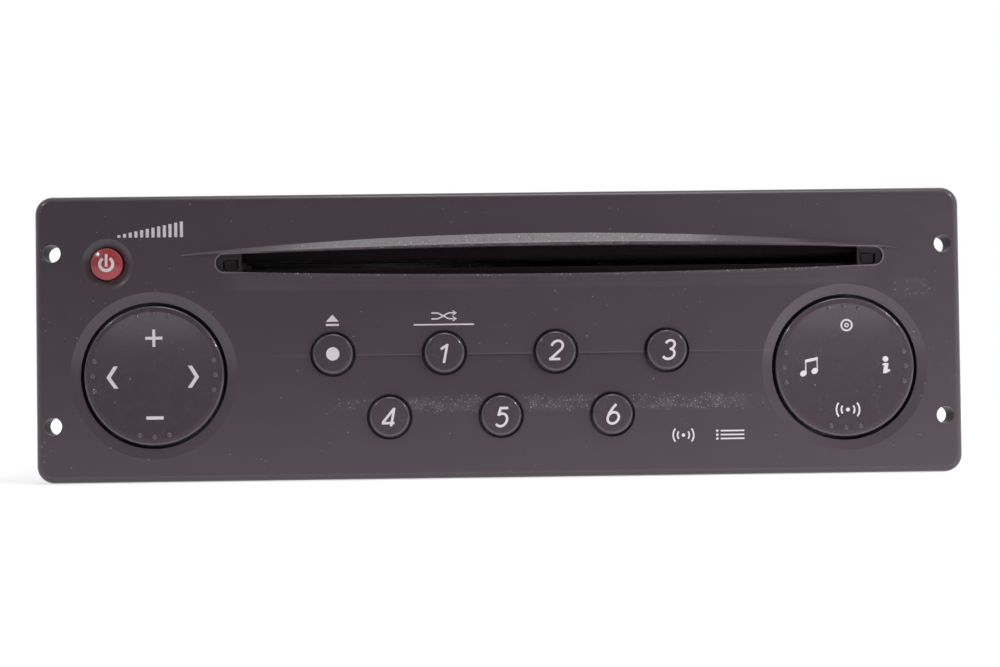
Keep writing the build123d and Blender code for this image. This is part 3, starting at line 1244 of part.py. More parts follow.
def fuse():
    """A flat blade fuse, pushed into its holder."""
    low = FUSE_Z
    half = FUSE_THICKNESS / 2
    body = block(FUSE_X - half, FUSE_X + half, REAR - FUSE_DEPTH, REAR + FUSE_DEPTH, low, low + FUSE_HEIGHT)
    body = fillet(body.edges().filter_by(Axis.X).sort_by(Axis.Y)[-2:], 1.2)
    body -= block(FUSE_X - half, FUSE_X - half + 0.6, REAR, REAR + 4, low + 6, low + FUSE_HEIGHT - 6)
    for z in fuse_prongs():
        thin = PRONG_HALF_THICKNESS
        low, high = z - PRONG_HALF, z + PRONG_HALF
        body += block(FUSE_X - thin, FUSE_X + thin, PRONG_FRONT, REAR - FUSE_DEPTH, low, high)
    return body


# Disc deck

ROLLER_LEFT = DECK_LEFT + SHEET
ROLLER_RIGHT = DECK_RIGHT - SHEET
GEAR_LEFT = DECK_LEFT + SHEET + GEAR_WALL_GAP
LOAD_GEAR_Y = ROLLER_Y + sqrt(
    (pitch_radius(ROLLER_TEETH) + pitch_radius(LOAD_TEETH)) ** 2 - (LOAD_GEAR_Z - ROLLER_Z) ** 2
)
PINION_Y = LOAD_GEAR_Y + pitch_radius(LOAD_TEETH) + pitch_radius(PINION_TEETH)
SLED_GEAR_X = RACK_PITCH_X + pitch_radius(SLED_PINION_TEETH)
SLED_REACH = pitch_radius(SLED_GEAR_TEETH) + pitch_radius(PINION_TEETH)
SLED_MOTOR_X = SLED_GEAR_X + SLED_REACH * cos(radians(SLED_MOTOR_SIDE))
SLED_MOTOR_Y = SLED_GEAR_Y + SLED_REACH * sin(radians(SLED_MOTOR_SIDE))
SLED_GEAR_LOW = TRAVERSE_TOP + SLED_GEAR_GAP
RACK_LOW = SLED_GEAR_LOW + SLED_GEAR_WIDTH + SLED_GEAR_GAP
LOAD_PHASE = 0.0
SLED_GEAR_PHASE = pi
LENS_Y = DISC_CENTRE_Y + SLED_FIRST_TRACK


def deck_frame():
    """The deck's steel tray, with its walls, hanging flanges and clamp lugs."""
    tray = block(DECK_LEFT, DECK_RIGHT, DECK_FRONT, DECK_BACK, DECK_FLOOR_Z, DECK_TOP_Z)
    tray -= block(
        DECK_LEFT + SHEET, DECK_RIGHT - SHEET, DECK_FRONT - 1, DECK_BACK - SHEET,
        DECK_FLOOR_Z + SHEET, DECK_TOP_Z + 1,
    )
    for y in SHELF_YS:
        edge = INNER_X - DECK_FLANGE_GAP
        for x0, x1 in ((-edge, DECK_LEFT + SHEET), (DECK_RIGHT - SHEET, edge)):
            front, back = y - DECK_FLANGE_HALF, y + DECK_FLANGE_HALF
            tray += block(x0, x1, front, back, DECK_TOP_Z, DECK_TOP_Z + SHEET)
        for x in DECK_SCREW_XS:
            tray -= rod_z(x, y, SCREW_RADIUS + HOLE_PLAY, DECK_TOP_Z - 1, DECK_TOP_Z + 2)
    tray -= rod_z(SLOT_X, DISC_CENTRE_Y, SPINDLE_MOTOR_RADIUS + 0.35, DECK_FLOOR_Z - 1, DECK_FLOOR_Z + 2)
    tray -= rod_z(SLED_MOTOR_X, SLED_MOTOR_Y, MOTOR_RADIUS + 0.8, DECK_FLOOR_Z - 1, DECK_FLOOR_Z + 2)
    for x0, x1 in ((DECK_LEFT - 1, DECK_LEFT + 2), (DECK_RIGHT - 2, DECK_RIGHT + 1)):
        tray -= rod_x(ROLLER_Y, ROLLER_Z, ROLLER_SHAFT_RADIUS + SHAFT_CLEARANCE, x0, x1)
    tray -= rod_x(PINION_Y, LOAD_GEAR_Z, 2.0, DECK_LEFT - 1, DECK_LEFT + 2)
    stub_end = GEAR_LEFT + GEAR_WIDTH + 0.4
    tray += rod_x(LOAD_GEAR_Y, LOAD_GEAR_Z, STUB_RADIUS, DECK_LEFT, stub_end)
    for x, y in SERVO_STANDS:
        tray += rod_z(x, y, SERVO_STAND_RADIUS, DECK_FLOOR_Z - SERVO_STAND_HEIGHT, DECK_FLOOR_Z + 0.5)
    lug_front = ARM_PIVOT_Y - 4
    for side in (-1, 1):
        half = ARM_LUG_THICKNESS / 2
        centre = SLOT_X + side * (ARM_HALF_WIDTH + ARM_LUG_GAP + half)
        lug = block(
            centre - half, centre + half, lug_front, DECK_BACK - SHEET, ARM_PIVOT_Z - 3, ARM_PIVOT_Z + 2.2
        )
        lug -= rod_x(ARM_PIVOT_Y, ARM_PIVOT_Z, ARM_PIN_RADIUS, centre - 2, centre + 2)
        tray += lug
    return tray


def disc_guide():
    """The plastic guide over the feed roller, which presses the disc down on it."""
    low = DISC_HIGH + 0.4
    left, right = ROLLER_LEFT, ROLLER_RIGHT
    guide = block(left, right, DECK_FRONT, DECK_FRONT + 20, low + 1.4, low + 3.0)
    guide += block(left, right, DECK_FRONT, DECK_FRONT + 1.6, low, low + 2.0)
    guide += block(left, right, ROLLER_Y - 0.8, ROLLER_Y + 0.8, low, low + 2.0)
    for side in (-1, 1):
        centre = SLOT_X + side * (DECK_HALF_WIDTH - SHEET - GUIDE_POST_INSET)
        guide += block(centre - 3, centre + 3, DECK_FRONT, DECK_FRONT + 20, low, low + 2.0)
    gear_room = GEAR_LEFT + GEAR_WIDTH + 0.5
    return guide - block(left - 1, gear_room, ROLLER_Y + 2.5, DECK_FRONT + 21, low - 1, low + 4)


def roller_gear():
    phase = meshing_phase(LOAD_PHASE, LOAD_TEETH, ROLLER_TEETH, load_to_roller())
    place = Plane(origin=(GEAR_LEFT, ROLLER_Y, ROLLER_Z), x_dir=(0, 1, 0), z_dir=(1, 0, 0))
    return place.location * gear(ROLLER_TEETH, GEAR_WIDTH, phase, 0)


def load_to_roller():
    return atan2(ROLLER_Z - LOAD_GEAR_Z, ROLLER_Y - LOAD_GEAR_Y)


def roller_shaft():
    """The steel shaft across the slot, with its drive gear on the left end."""
    shaft = rod_x(ROLLER_Y, ROLLER_Z, ROLLER_SHAFT_RADIUS, DECK_LEFT - 1, DECK_RIGHT + 1)
    return shaft + roller_gear()


def feed_rollers():
    """Rubber sleeves that taper towards the middle, so that the disc stays centred."""
    sleeves = []
    bore = ROLLER_SHAFT_RADIUS
    for side in (-1, 1):
        for near, far, slim, full in ((6.0, 30.0, 0.75, 0.35), (34.0, 58.0, 0.3, 0.0)):
            length = far - near
            inner_radius = ROLLER_RADIUS - (slim if side > 0 else full)
            outer_radius = ROLLER_RADIUS - (full if side > 0 else slim)
            middle = SLOT_X + side * (near + far) / 2
            cone = Pos(middle, ROLLER_Y, ROLLER_Z) * Rot(0, 90, 0) * Cone(inner_radius, outer_radius, length)
            sleeves.append(cone - rod_x(ROLLER_Y, ROLLER_Z, bore, middle - length, middle + length))
    return Compound(children=sleeves)


def load_gear():
    place = Plane(origin=(GEAR_LEFT, LOAD_GEAR_Y, LOAD_GEAR_Z), x_dir=(0, 1, 0), z_dir=(1, 0, 0))
    return place.location * gear(LOAD_TEETH, GEAR_WIDTH, LOAD_PHASE, STUB_RADIUS + SHAFT_CLEARANCE)


def load_pinion():
    """The feed motor's pinion on its shaft."""
    phase = meshing_phase(LOAD_PHASE, LOAD_TEETH, PINION_TEETH, 0.0)
    place = Plane(origin=(GEAR_LEFT, PINION_Y, LOAD_GEAR_Z), x_dir=(0, 1, 0), z_dir=(1, 0, 0))
    pinion = place.location * gear(PINION_TEETH, GEAR_WIDTH, phase, 0)
    return pinion + rod_x(PINION_Y, LOAD_GEAR_Z, MOTOR_SHAFT_RADIUS, DECK_LEFT - 4, GEAR_LEFT + 0.5)


def load_motor():
    """The small motor outside the deck's left wall that drives the feed roller."""
    can = rod_x(PINION_Y, LOAD_GEAR_Z, MOTOR_RADIUS, DECK_LEFT - MOTOR_LENGTH, DECK_LEFT)
    can = fillet(can.edges().filter_by(GeomType.CIRCLE).sort_by(Axis.X)[0], 1.0)
    bore = MOTOR_SHAFT_RADIUS + SHAFT_CLEARANCE
    return can - rod_x(PINION_Y, LOAD_GEAR_Z, bore, DECK_LEFT - 5, DECK_LEFT + 1)


def traverse_plate():
    """The sprung plate that carries the spindle motor, the sled and its drive."""
    plate = block(
        TRAVERSE_LEFT, TRAVERSE_RIGHT, TRAVERSE_FRONT, TRAVERSE_BACK, TRAVERSE_Z, TRAVERSE_TOP
    )
    plate -= rod_z(SLOT_X, DISC_CENTRE_Y, 3.0, TRAVERSE_Z - 1, TRAVERSE_TOP + 1)
    plate -= rod_z(SLED_MOTOR_X, SLED_MOTOR_Y, 2.0, TRAVERSE_Z - 1, TRAVERSE_TOP + 1)
    for x, y in BUSH_PLACES:
        plate -= rod_z(x, y, BUSH_RADIUS - BUSH_WALL, TRAVERSE_Z - 1, TRAVERSE_TOP + 1)
    for x in (ROD_LEFT_X, ROD_RIGHT_X):
        for y in (rod_front() + 1.0, rod_back() - 1.0):
            left, right = x - ROD_HOLDER_HALF, x + ROD_HOLDER_HALF
            plate += block(left, right, y - 1.0, y + 1.0, TRAVERSE_TOP, ROD_Z + ROD_HOLDER_RISE)
            plate -= rod_y(x, ROD_Z, ROD_RADIUS, y - 2, y + 2)
    plate += rod_z(SLED_GEAR_X, SLED_GEAR_Y, GEAR_PIN_RADIUS, TRAVERSE_TOP, RACK_LOW + RACK_HEIGHT + 0.4)
    return plate


def rod_front():
    return LENS_Y - SLED_FRONT_REACH - ROD_END_ROOM


def rod_back():
    return LENS_Y + SLED_BACK_REACH + SLED_TRAVEL + ROD_END_ROOM


def guide_rods():
    rods = [rod_y(x, ROD_Z, ROD_RADIUS, rod_front(), rod_back()) for x in (ROD_LEFT_X, ROD_RIGHT_X)]
    return Compound(children=rods)


def damper_bushes():
    """Rubber bushes that hold the traverse plate off the deck's floor."""
    bushes = []
    for x, y in BUSH_PLACES:
        bush = rod_z(x, y, BUSH_RADIUS, DECK_FLOOR_Z + SHEET, TRAVERSE_Z)
        bush += rod_z(x, y, BUSH_RADIUS - BUSH_WALL, TRAVERSE_Z, TRAVERSE_TOP)
        bush += rod_z(x, y, BUSH_RADIUS, TRAVERSE_TOP, TRAVERSE_TOP + BUSH_LIP)
        bushes.append(bush)
    return Compound(children=bushes)


def spindle_motor():
    can = rod_z(
        SLOT_X, DISC_CENTRE_Y, SPINDLE_MOTOR_RADIUS, TRAVERSE_Z - SPINDLE_MOTOR_LENGTH, TRAVERSE_Z
    )
    can = fillet(can.edges().filter_by(GeomType.CIRCLE).sort_by(Axis.Z)[0], 1.0)
    can += rod_z(SLOT_X, DISC_CENTRE_Y, 2.6, TRAVERSE_Z, TRAVERSE_TOP)
    return can - rod_z(
        SLOT_X, DISC_CENTRE_Y, SPINDLE_SHAFT_RADIUS + SHAFT_CLEARANCE, TRAVERSE_Z - 5, TRAVERSE_TOP + 1
    )


def turntable():
    """The disc's seat on the motor shaft, with its centring cone."""
    seat = rod_z(SLOT_X, DISC_CENTRE_Y, TURNTABLE_RADIUS, DISC_LOW - 1.6, DISC_LOW)
    seat += rod_z(SLOT_X, DISC_CENTRE_Y, 4.0, TRAVERSE_TOP + 0.6, DISC_LOW - 1.6)
    cone = Pos(SLOT_X, DISC_CENTRE_Y, DISC_LOW + HUB_HEIGHT / 2) * Cone(HUB_RADIUS, 4.5, HUB_HEIGHT)
    shaft = rod_z(SLOT_X, DISC_CENTRE_Y, SPINDLE_SHAFT_RADIUS, TRAVERSE_Z - 4, TRAVERSE_TOP + 2)
    return seat + cone + shaft


def clamp_arm():
    """The arm over the disc, hinged at the back, which presses the puck down."""
    reach_front = DISC_CENTRE_Y - ARM_FRONT_REACH
    left, right = SLOT_X - ARM_HALF_WIDTH, SLOT_X + ARM_HALF_WIDTH
    back = ARM_PIVOT_Y - ARM_PIN_RADIUS - ARM_PIN_ROOM
    arm = block(left, right, reach_front, back, ARM_Z, ARM_Z + SHEET)
    arm = fillet(arm.edges().filter_by(Axis.Z).sort_by(Axis.Y)[:2], 8.0)
    arm -= rod_z(SLOT_X, DISC_CENTRE_Y, PUCK_NECK_RADIUS + 0.5, ARM_Z - 1, ARM_Z + 2)
    for x0, x1 in ((left, left + SHEET), (right - SHEET, right)):
        ear = block(x0, x1, ARM_PIVOT_Y - 3, ARM_PIVOT_Y, ARM_PIVOT_Z - 2, ARM_PIVOT_Z + 2)
        ear += rod_x(ARM_PIVOT_Y, ARM_PIVOT_Z, 2.0, x0, x1)
        arm += ear
        arm -= rod_x(ARM_PIVOT_Y, ARM_PIVOT_Z, ARM_PIN_RADIUS + SHAFT_CLEARANCE, x0 - 1, x1 + 1)
    return arm


def clamp_pin():
    reach = ARM_HALF_WIDTH + ARM_LUG_GAP + ARM_LUG_THICKNESS + ARM_PIN_ROOM
    return rod_x(ARM_PIVOT_Y, ARM_PIVOT_Z, ARM_PIN_RADIUS, SLOT_X - reach, SLOT_X + reach)


def clamp_puck():
    """The round clamp that turns with the disc, hung in the arm by its collar."""
    low = DISC_HIGH + 0.1
    puck = rod_z(SLOT_X, DISC_CENTRE_Y, PUCK_RADIUS, low, ARM_Z - 0.6)
    puck = fillet(puck.edges().filter_by(GeomType.CIRCLE).sort_by(Axis.Z)[-1], 0.6)
    puck += rod_z(SLOT_X, DISC_CENTRE_Y, PUCK_NECK_RADIUS, ARM_Z - 0.8, ARM_Z + SHEET + 0.2)
    puck += rod_z(SLOT_X, DISC_CENTRE_Y, PUCK_NECK_RADIUS + 2.0, ARM_Z + SHEET + 0.2, ARM_Z + SHEET + 1.0)
    return puck - rod_z(SLOT_X, DISC_CENTRE_Y, HUB_RADIUS + 0.3, low - 1, low + 1.3)


def pickup_sled():
    """The laser sled: its carriage on the two rods, the lens and the rack."""
    front = LENS_Y - SLED_FRONT_REACH
    back = LENS_Y + SLED_BACK_REACH
    low = TRAVERSE_TOP + 0.4
    high = ROD_Z + 2.0
    left = ROD_LEFT_X - SLED_SIDE
    right = ROD_RIGHT_X + SLED_SIDE
    sled = block(left, right, front, back, low, high)
    for x in (ROD_LEFT_X, ROD_RIGHT_X):
        sled -= rod_y(x, ROD_Z, ROD_RADIUS + SHAFT_CLEARANCE, front - 1, back + 1)
    sled += rod_z(SLOT_X, LENS_Y, 4.0, high, high + 0.7)
    sled += Pos(SLOT_X, LENS_Y, high + 0.7) * Sphere(1.0)
    rack_top = RACK_LOW + RACK_HEIGHT
    root_x = RACK_PITCH_X - 1.15 * GEAR_MODULE
    rack_front = SLED_GEAR_Y - SLED_TRAVEL - RACK_END
    rack_back = SLED_GEAR_Y + RACK_END
    sled += block(right, root_x, rack_front, rack_back, RACK_LOW, rack_top)
    pitch = pi * GEAR_MODULE
    count = int(SLED_TRAVEL / pitch) + 4
    first = SLED_GEAR_Y - (count - 2 + 0.5) * pitch
    half = pitch * 0.20
    tip_x = RACK_PITCH_X + 0.8 * GEAR_MODULE
    for k in range(count):
        y = first + k * pitch
        tooth = make_face(
            Polyline(
                (root_x - 0.1, y - 1.5 * half),
                (tip_x, y - 0.5 * half),
                (tip_x, y + 0.5 * half),
                (root_x - 0.1, y + 1.5 * half),
                close=True,
            )
        )
        sled += Pos(0, 0, RACK_LOW) * extrude(tooth, RACK_HEIGHT)
    return sled


def sled_gear():
    """The double gear between the sled's motor and its rack."""
    bore = GEAR_PIN_RADIUS + SHAFT_CLEARANCE
    small = gear(SLED_PINION_TEETH, RACK_HEIGHT + 0.5, SLED_GEAR_PHASE, bore)
    large = gear(SLED_GEAR_TEETH, SLED_GEAR_WIDTH, SLED_GEAR_PHASE, bore)
    place = Pos(SLED_GEAR_X, SLED_GEAR_Y, SLED_GEAR_LOW)
    return place * large + place * Pos(0, 0, SLED_GEAR_WIDTH - 0.1) * small


def sled_pinion():
    """The sled motor's pinion on its shaft."""
    direction = radians(SLED_MOTOR_SIDE)
    phase = meshing_phase(SLED_GEAR_PHASE, SLED_GEAR_TEETH, PINION_TEETH, direction)
    pinion = Pos(SLED_MOTOR_X, SLED_MOTOR_Y, SLED_GEAR_LOW) * gear(PINION_TEETH, SLED_GEAR_WIDTH, phase, 0)
    return pinion + rod_z(SLED_MOTOR_X, SLED_MOTOR_Y, MOTOR_SHAFT_RADIUS, TRAVERSE_Z - 3, SLED_GEAR_LOW + 0.5)


def sled_motor():
    can = rod_z(SLED_MOTOR_X, SLED_MOTOR_Y, MOTOR_RADIUS, TRAVERSE_Z - 10.0, TRAVERSE_Z)
    can = fillet(can.edges().filter_by(GeomType.CIRCLE).sort_by(Axis.Z)[0], 1.0)
    return can - rod_z(
        SLED_MOTOR_X, SLED_MOTOR_Y, MOTOR_SHAFT_RADIUS + SHAFT_CLEARANCE, TRAVERSE_Z - 4, TRAVERSE_Z + 1
    )


def servo_pcb():
    """The deck's own board, hung under its floor, with the ribbon's socket."""
    high = DECK_FLOOR_Z - SERVO_STAND_HEIGHT
    low = high - SERVO_THICKNESS
    board = block(SERVO_LEFT, SERVO_RIGHT, SERVO_FRONT, SERVO_BACK, low, high)
    left, front = RIBBON_LEFT + RIBBON_MARGIN, SERVO_FRONT + RIBBON_REACH + RIBBON_MARGIN
    chip = block(left, left + SERVO_CHIP, front, front + SERVO_CHIP, low - SERVO_CHIP_HEIGHT, low)
    socket = block(RIBBON_LEFT, RIBBON_RIGHT, RIBBON_FRONT, RIBBON_BACK, low - RIBBON_SOCKET_HEIGHT, low)
    return Compound(children=[board, chip, socket])


def ribbon_cable():
    """The flat cable from the deck's board down to the main board."""
    top = DECK_FLOOR_Z - SERVO_STAND_HEIGHT - SERVO_THICKNESS - RIBBON_SOCKET_HEIGHT
    plug_top = MAIN_BOARD_TOP + RIBBON_SOCKET_HEIGHT
    middle = (RIBBON_FRONT + RIBBON_BACK) / 2
    strip = block(
        RIBBON_LEFT + RIBBON_MARGIN, RIBBON_RIGHT - RIBBON_MARGIN,
        middle - RIBBON_THICKNESS / 2, middle + RIBBON_THICKNESS / 2, plug_top, top,
    )
    plug = block(RIBBON_LEFT, RIBBON_RIGHT, RIBBON_FRONT, RIBBON_BACK, MAIN_BOARD_TOP, plug_top)
    return Compound(children=[strip, plug])


def board_screws():
    """Small screws that hold the boards, the panel and the deck."""
    group = [small_screw((x, BOARD_BACK, z), (0, -1, 0)) for x, z in BOARD_BOSSES]
    group += [small_screw((x, SHEET, z), (0, -1, 0)) for x, z in PANEL_BOSSES]
    group += [small_screw((x, y, MAIN_BOARD_TOP), (0, 0, -1)) for x, y in BOARD_STANDS]
    deck_top = DECK_TOP_Z + SHEET
    group += [small_screw((x, y, deck_top), (0, 0, -1)) for x in DECK_SCREW_XS for y in SHELF_YS]
    return Compound(children=group)


PARTS = {
    "faceplate": faceplate,
    "slot_felts": slot_felts,
    "slot_light_guides": slot_light_guides,
    "power_button": power_key,
    "pad_carriers": pad_carriers,
    "keymat": keymat,
    "front_pcb": front_pcb,
    "front_connector": front_connector,
    "board_screws": board_screws,
    "chassis": chassis,
    "top_cover": top_cover,
    "rear_panel": rear_panel,
    "case_screws": case_screws,
    "heatsink": heatsink,
    "rear_stud": rear_stud,
    "main_pcb": main_pcb,
    "capacitors": capacitors,
    "tuner_can": tuner_can,
    "amplifier_chip": amplifier_chip,
    "amplifier_clamp": amplifier_clamp,
    "iso_connector": iso_connector,
    "iso_contacts": iso_contacts,
    "antenna_socket": antenna_socket,
    "fuse_holder": fuse_holder,
    "fuse": fuse,
    "deck_frame": deck_frame,
    "disc_guide": disc_guide,
    "roller_shaft": roller_shaft,
    "feed_rollers": feed_rollers,
    "load_gear": load_gear,
    "load_pinion": load_pinion,
    "load_motor": load_motor,
    "traverse_plate": traverse_plate,
    "guide_rods": guide_rods,
    "damper_bushes": damper_bushes,
    "spindle_motor": spindle_motor,
    "turntable": turntable,
    "clamp_arm": clamp_arm,
    "clamp_pin": clamp_pin,
    "clamp_puck": clamp_puck,
    "pickup_sled": pickup_sled,
    "sled_gear": sled_gear,
    "sled_pinion": sled_pinion,
    "sled_motor": sled_motor,
    "servo_pcb": servo_pcb,
    "ribbon_cable": ribbon_cable,
}

pieces = {name: make() for name, make in PARTS.items()}
for name, x, z in ROUND_KEYS:
    pieces[name] = round_key(x, z)
for name, x in PADS:
    pieces[f"{name}_pad"] = pad(x)
    pieces[f"{name}_gimbal"] = gimbal(x)
pieces["latch_spring_left"] = latch_spring(-1)
pieces["latch_spring_right"] = latch_spring(1)

os.makedirs("parts", exist_ok=True)
for name, piece in pieces.items():
    piece.label = name
    export_step(piece, f"parts/{name}.step")

for name, x, z in ROUND_KEYS:
    print(name, "at", round(x, 2), round(z, 2))
print("pivot y", PIVOT_Y, "load gear y", round(LOAD_GEAR_Y, 3), "pinion y", round(PINION_Y, 3))
print("roller z", ROLLER_Z, "sled gear", round(SLED_GEAR_X, 3), SLED_GEAR_Y)
print("sled motor", round(SLED_MOTOR_X, 3), round(SLED_MOTOR_Y, 3))
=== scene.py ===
"""Gives the car radio its finishes, brow and printed marks, and sets a plain studio round it."""

import json
import math

import bpy
from mathutils import Matrix, Vector


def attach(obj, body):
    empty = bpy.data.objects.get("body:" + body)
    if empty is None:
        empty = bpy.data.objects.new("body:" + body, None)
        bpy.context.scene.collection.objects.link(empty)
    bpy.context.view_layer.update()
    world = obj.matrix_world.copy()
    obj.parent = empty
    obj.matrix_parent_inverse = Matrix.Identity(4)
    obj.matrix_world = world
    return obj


bl_info = {
    "name": "Car radio finishes",
    "version": (1, 1, 0),
    "blender": (4, 5, 0),
    "location": "3D View > Sidebar > Car radio",
    "description": "Gives the car radio its finishes, brow, printed marks and a plain studio",
    "category": "Object",
}

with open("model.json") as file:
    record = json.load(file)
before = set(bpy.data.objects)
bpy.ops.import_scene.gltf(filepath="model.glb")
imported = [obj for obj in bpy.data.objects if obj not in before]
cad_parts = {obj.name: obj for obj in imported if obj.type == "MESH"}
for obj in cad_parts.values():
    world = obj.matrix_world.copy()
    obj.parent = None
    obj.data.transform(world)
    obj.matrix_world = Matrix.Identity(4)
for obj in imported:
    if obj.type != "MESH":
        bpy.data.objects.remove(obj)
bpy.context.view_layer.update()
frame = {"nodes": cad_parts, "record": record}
MM = 0.001

# Places on the front panel, in millimetres from its centre
KEYS = {
    "eject": (-33.95, -3.52), 1: (-11.3, -3.52), 2: (11.25, -3.52), 3: (34.0, -3.52),
    4: (-22.6, -16.4), 5: (0.0, -16.4), 6: (22.6, -16.4),
}
POWER = (-79.4, 15.2)
LEFT_PAD, RIGHT_PAD = (-70.15, -7.45), (70.15, -7.45)
HOLE_X, HOLE_Z = 90.6, 17.5
SLOT_X, SLOT_Z, SLOT_REACH = 10.4, 15.2, 66.1
SLOT_HALF_HEIGHT, SLOT_BOW = 2.85, 1.05
BROW_X, BROW_HALF = 8.5, 74.0
BROW_CREASE, BROW_DROP = 20.65, 3.75
SCOOP_Z = -3.96
FOOT_Z = -14.9
FACE_Y = -9.0
AHEAD_OF_PANEL = -14.0


# Materials

class Finish:
    """A material while it is being put together."""

    def __init__(self, name, colour, roughness, metallic=0.0):
        self.material = bpy.data.materials.new(name)
        self.material.use_nodes = True
        self.tree = self.material.node_tree
        self.shader = self.tree.nodes["Principled BSDF"]
        self.shader.inputs["Base Color"].default_value = (*colour, 1)
        self.shader.inputs["Roughness"].default_value = roughness
        self.shader.inputs["Metallic"].default_value = metallic
        self.place = self.tree.nodes.new("ShaderNodeTexCoord").outputs["Object"]
        self.material.diffuse_color = (*colour, 1)

    def node(self, kind, settings=None, **inputs):
        made = self.tree.nodes.new(kind)
        for key, value in (settings or {}).items():
            setattr(made, key, value)
        for key, value in inputs.items():
            self.feed(made.inputs[key.replace("_", " ")], value)
        return made

    def feed(self, socket, value):
        if isinstance(value, bpy.types.NodeSocket):
            self.tree.links.new(value, socket)
        else:
            socket.default_value = value

    def noise(self, size, detail=2.0, roughness=0.5, stretch=(1, 1, 1)):
        """Noise with features of about this size, in millimetres."""
        turned = self.node("ShaderNodeMapping", Vector=self.place, Scale=stretch)
        made = self.node(
            "ShaderNodeTexNoise", Vector=turned.outputs[0], Scale=1 / (size * MM),
            Detail=detail, Roughness=roughness,
        )
        return made.outputs["Fac"]

    def cells(self, size, feature="F1"):
        """Cells of about this size, in millimetres: the distance and the random colour of each."""
        made = self.node(
            "ShaderNodeTexVoronoi", {"feature": feature}, Vector=self.place, Scale=1 / (size * MM)
        )
        return made.outputs["Distance"], made.outputs.get("Color")

    def maths(self, operation, first, second=0.0):
        made = self.node("ShaderNodeMath", {"operation": operation})
        self.feed(made.inputs[0], first)
        self.feed(made.inputs[1], second)
        return made.outputs[0]

    def combine(self, operation, values):
        result = values[0]
        for value in values[1:]:
            result = self.maths(operation, result, value)
        return result

    def product(self, *values):
        return self.combine("MULTIPLY", values)

    def total(self, *values):
        return self.combine("ADD", values)

    def largest(self, *values):
        return self.combine("MAXIMUM", values)

    def length(self, across, up):
        return self.maths("SQRT", self.total(self.product(across, across), self.product(up, up)))

    def bow(self, value, middle, half):
        """0 at the middle, rising as a parabola to 1 at this far on either side."""
        return self.maths("POWER", self.maths("DIVIDE", self.total(value, -middle), half), 2.0)

    def spread(self, value, low, high, to_low=0.0, to_high=1.0):
        made = self.node("ShaderNodeMapRange", {"clamp": True})
        pairs = {"Value": value, "From Min": low, "From Max": high, "To Min": to_low, "To Max": to_high}
        for key, number in pairs.items():
            self.feed(made.inputs[key], number)
        return made.outputs[0]

    def window(self, value, low, high, fade):
        """1 where the value lies from low to high, fading to 0 outside."""
        rise = self.spread(value, low - fade, low)
        fall = self.spread(value, high, high + fade, 1.0, 0.0)
        return self.product(rise, fall)

    def mix(self, share, first, second):
        made = self.node("ShaderNodeMix", {"data_type": "RGBA"})
        self.feed(made.inputs["Factor"], share)
        for socket, colour in ((made.inputs[6], first), (made.inputs[7], second)):
            self.feed(socket, colour if isinstance(colour, bpy.types.NodeSocket) else (*colour, 1))
        return made.outputs[2]

    def bump(self, height, depth):
        """Relief of this depth, in millimetres."""
        made = self.node("ShaderNodeBump", Strength=1.0, Distance=depth * MM, Height=height)
        self.set("Normal", made.outputs[0])

    def set(self, socket, value):
        self.feed(self.shader.inputs[socket], value)

    def along(self, letter):
        """Where a point lies along X, Y or Z, in millimetres."""
        split = self.node("ShaderNodeSeparateXYZ", Vector=self.place)
        return self.maths("MULTIPLY", split.outputs[letter], 1 / MM)


def shade(colour, factor):
    return tuple(c * factor for c in colour)


# Pale grey of dust, also used for the painted light of the film on the brow's slope and under the slot.
DUST_AND_SHEEN_COLOUR = (0.50, 0.45, 0.47)
HOLE_COLOUR = (0.050, 0.017, 0.016)


def specks(finish, size, radius, density):
    """Round specks, one at most in a cell of this size, in as many cells as the density says."""
    distance, random = finish.cells(size)
    split = finish.node("ShaderNodeSeparateColor", Color=random)
    reach = finish.spread(split.outputs[1], 0.0, 1.0, radius * 0.5, radius)
    chosen = finish.maths("LESS_THAN", split.outputs[0], density)
    edge = finish.spread(finish.maths("DIVIDE", distance, reach), 0.7, 1.2, 1.0, 0.0)
    pale = finish.spread(split.outputs[2], 0.0, 1.0, 0.25, 1.0)
    return finish.product(chosen, edge, pale)


def dusty(finish, base, amount, density):
    """Dust over a base colour: large specks, many fine ones and a faint haze where it is thick."""
    large = specks(finish, 1.0, 0.19, finish.product(density, 0.5 * amount))
    fine = specks(finish, 0.42, 0.36, finish.product(density, 1.6 * amount))
    haze = finish.product(density, finish.spread(finish.noise(1.6, 4.0, 0.7), 0.3, 0.8), 0.16 * amount)
    share = finish.largest(haze, large, finish.product(fine, 0.5))
    return finish.mix(share, base, DUST_AND_SHEEN_COLOUR)


def satin_plastic(name, colour, roughness, grain=0.010, dustiness=0.3):
    """Moulded plastic with a fine satin grain, slight mottling and scattered specks of dust."""
    made = Finish(name, colour, roughness)
    mottle = made.mix(made.noise(9.0, 4.0, 0.6), shade(colour, 0.94), shade(colour, 1.06))
    patches = made.spread(made.noise(15.0, 3.0, 0.6), 0.50, 0.75, 0.0, 0.08)
    made.set("Base Color", dusty(made, mottle, dustiness, patches))
    made.set("Roughness", made.spread(made.noise(3.0, 3.0), 0.3, 0.7, roughness - 0.04, roughness + 0.05))
    made.set("Specular IOR Level", 0.36)
    made.set("Coat Weight", 0.6)
    made.set("Coat Roughness", 0.09)
    made.bump(made.noise(0.30, 2.0, 0.6), grain)
    return made.material


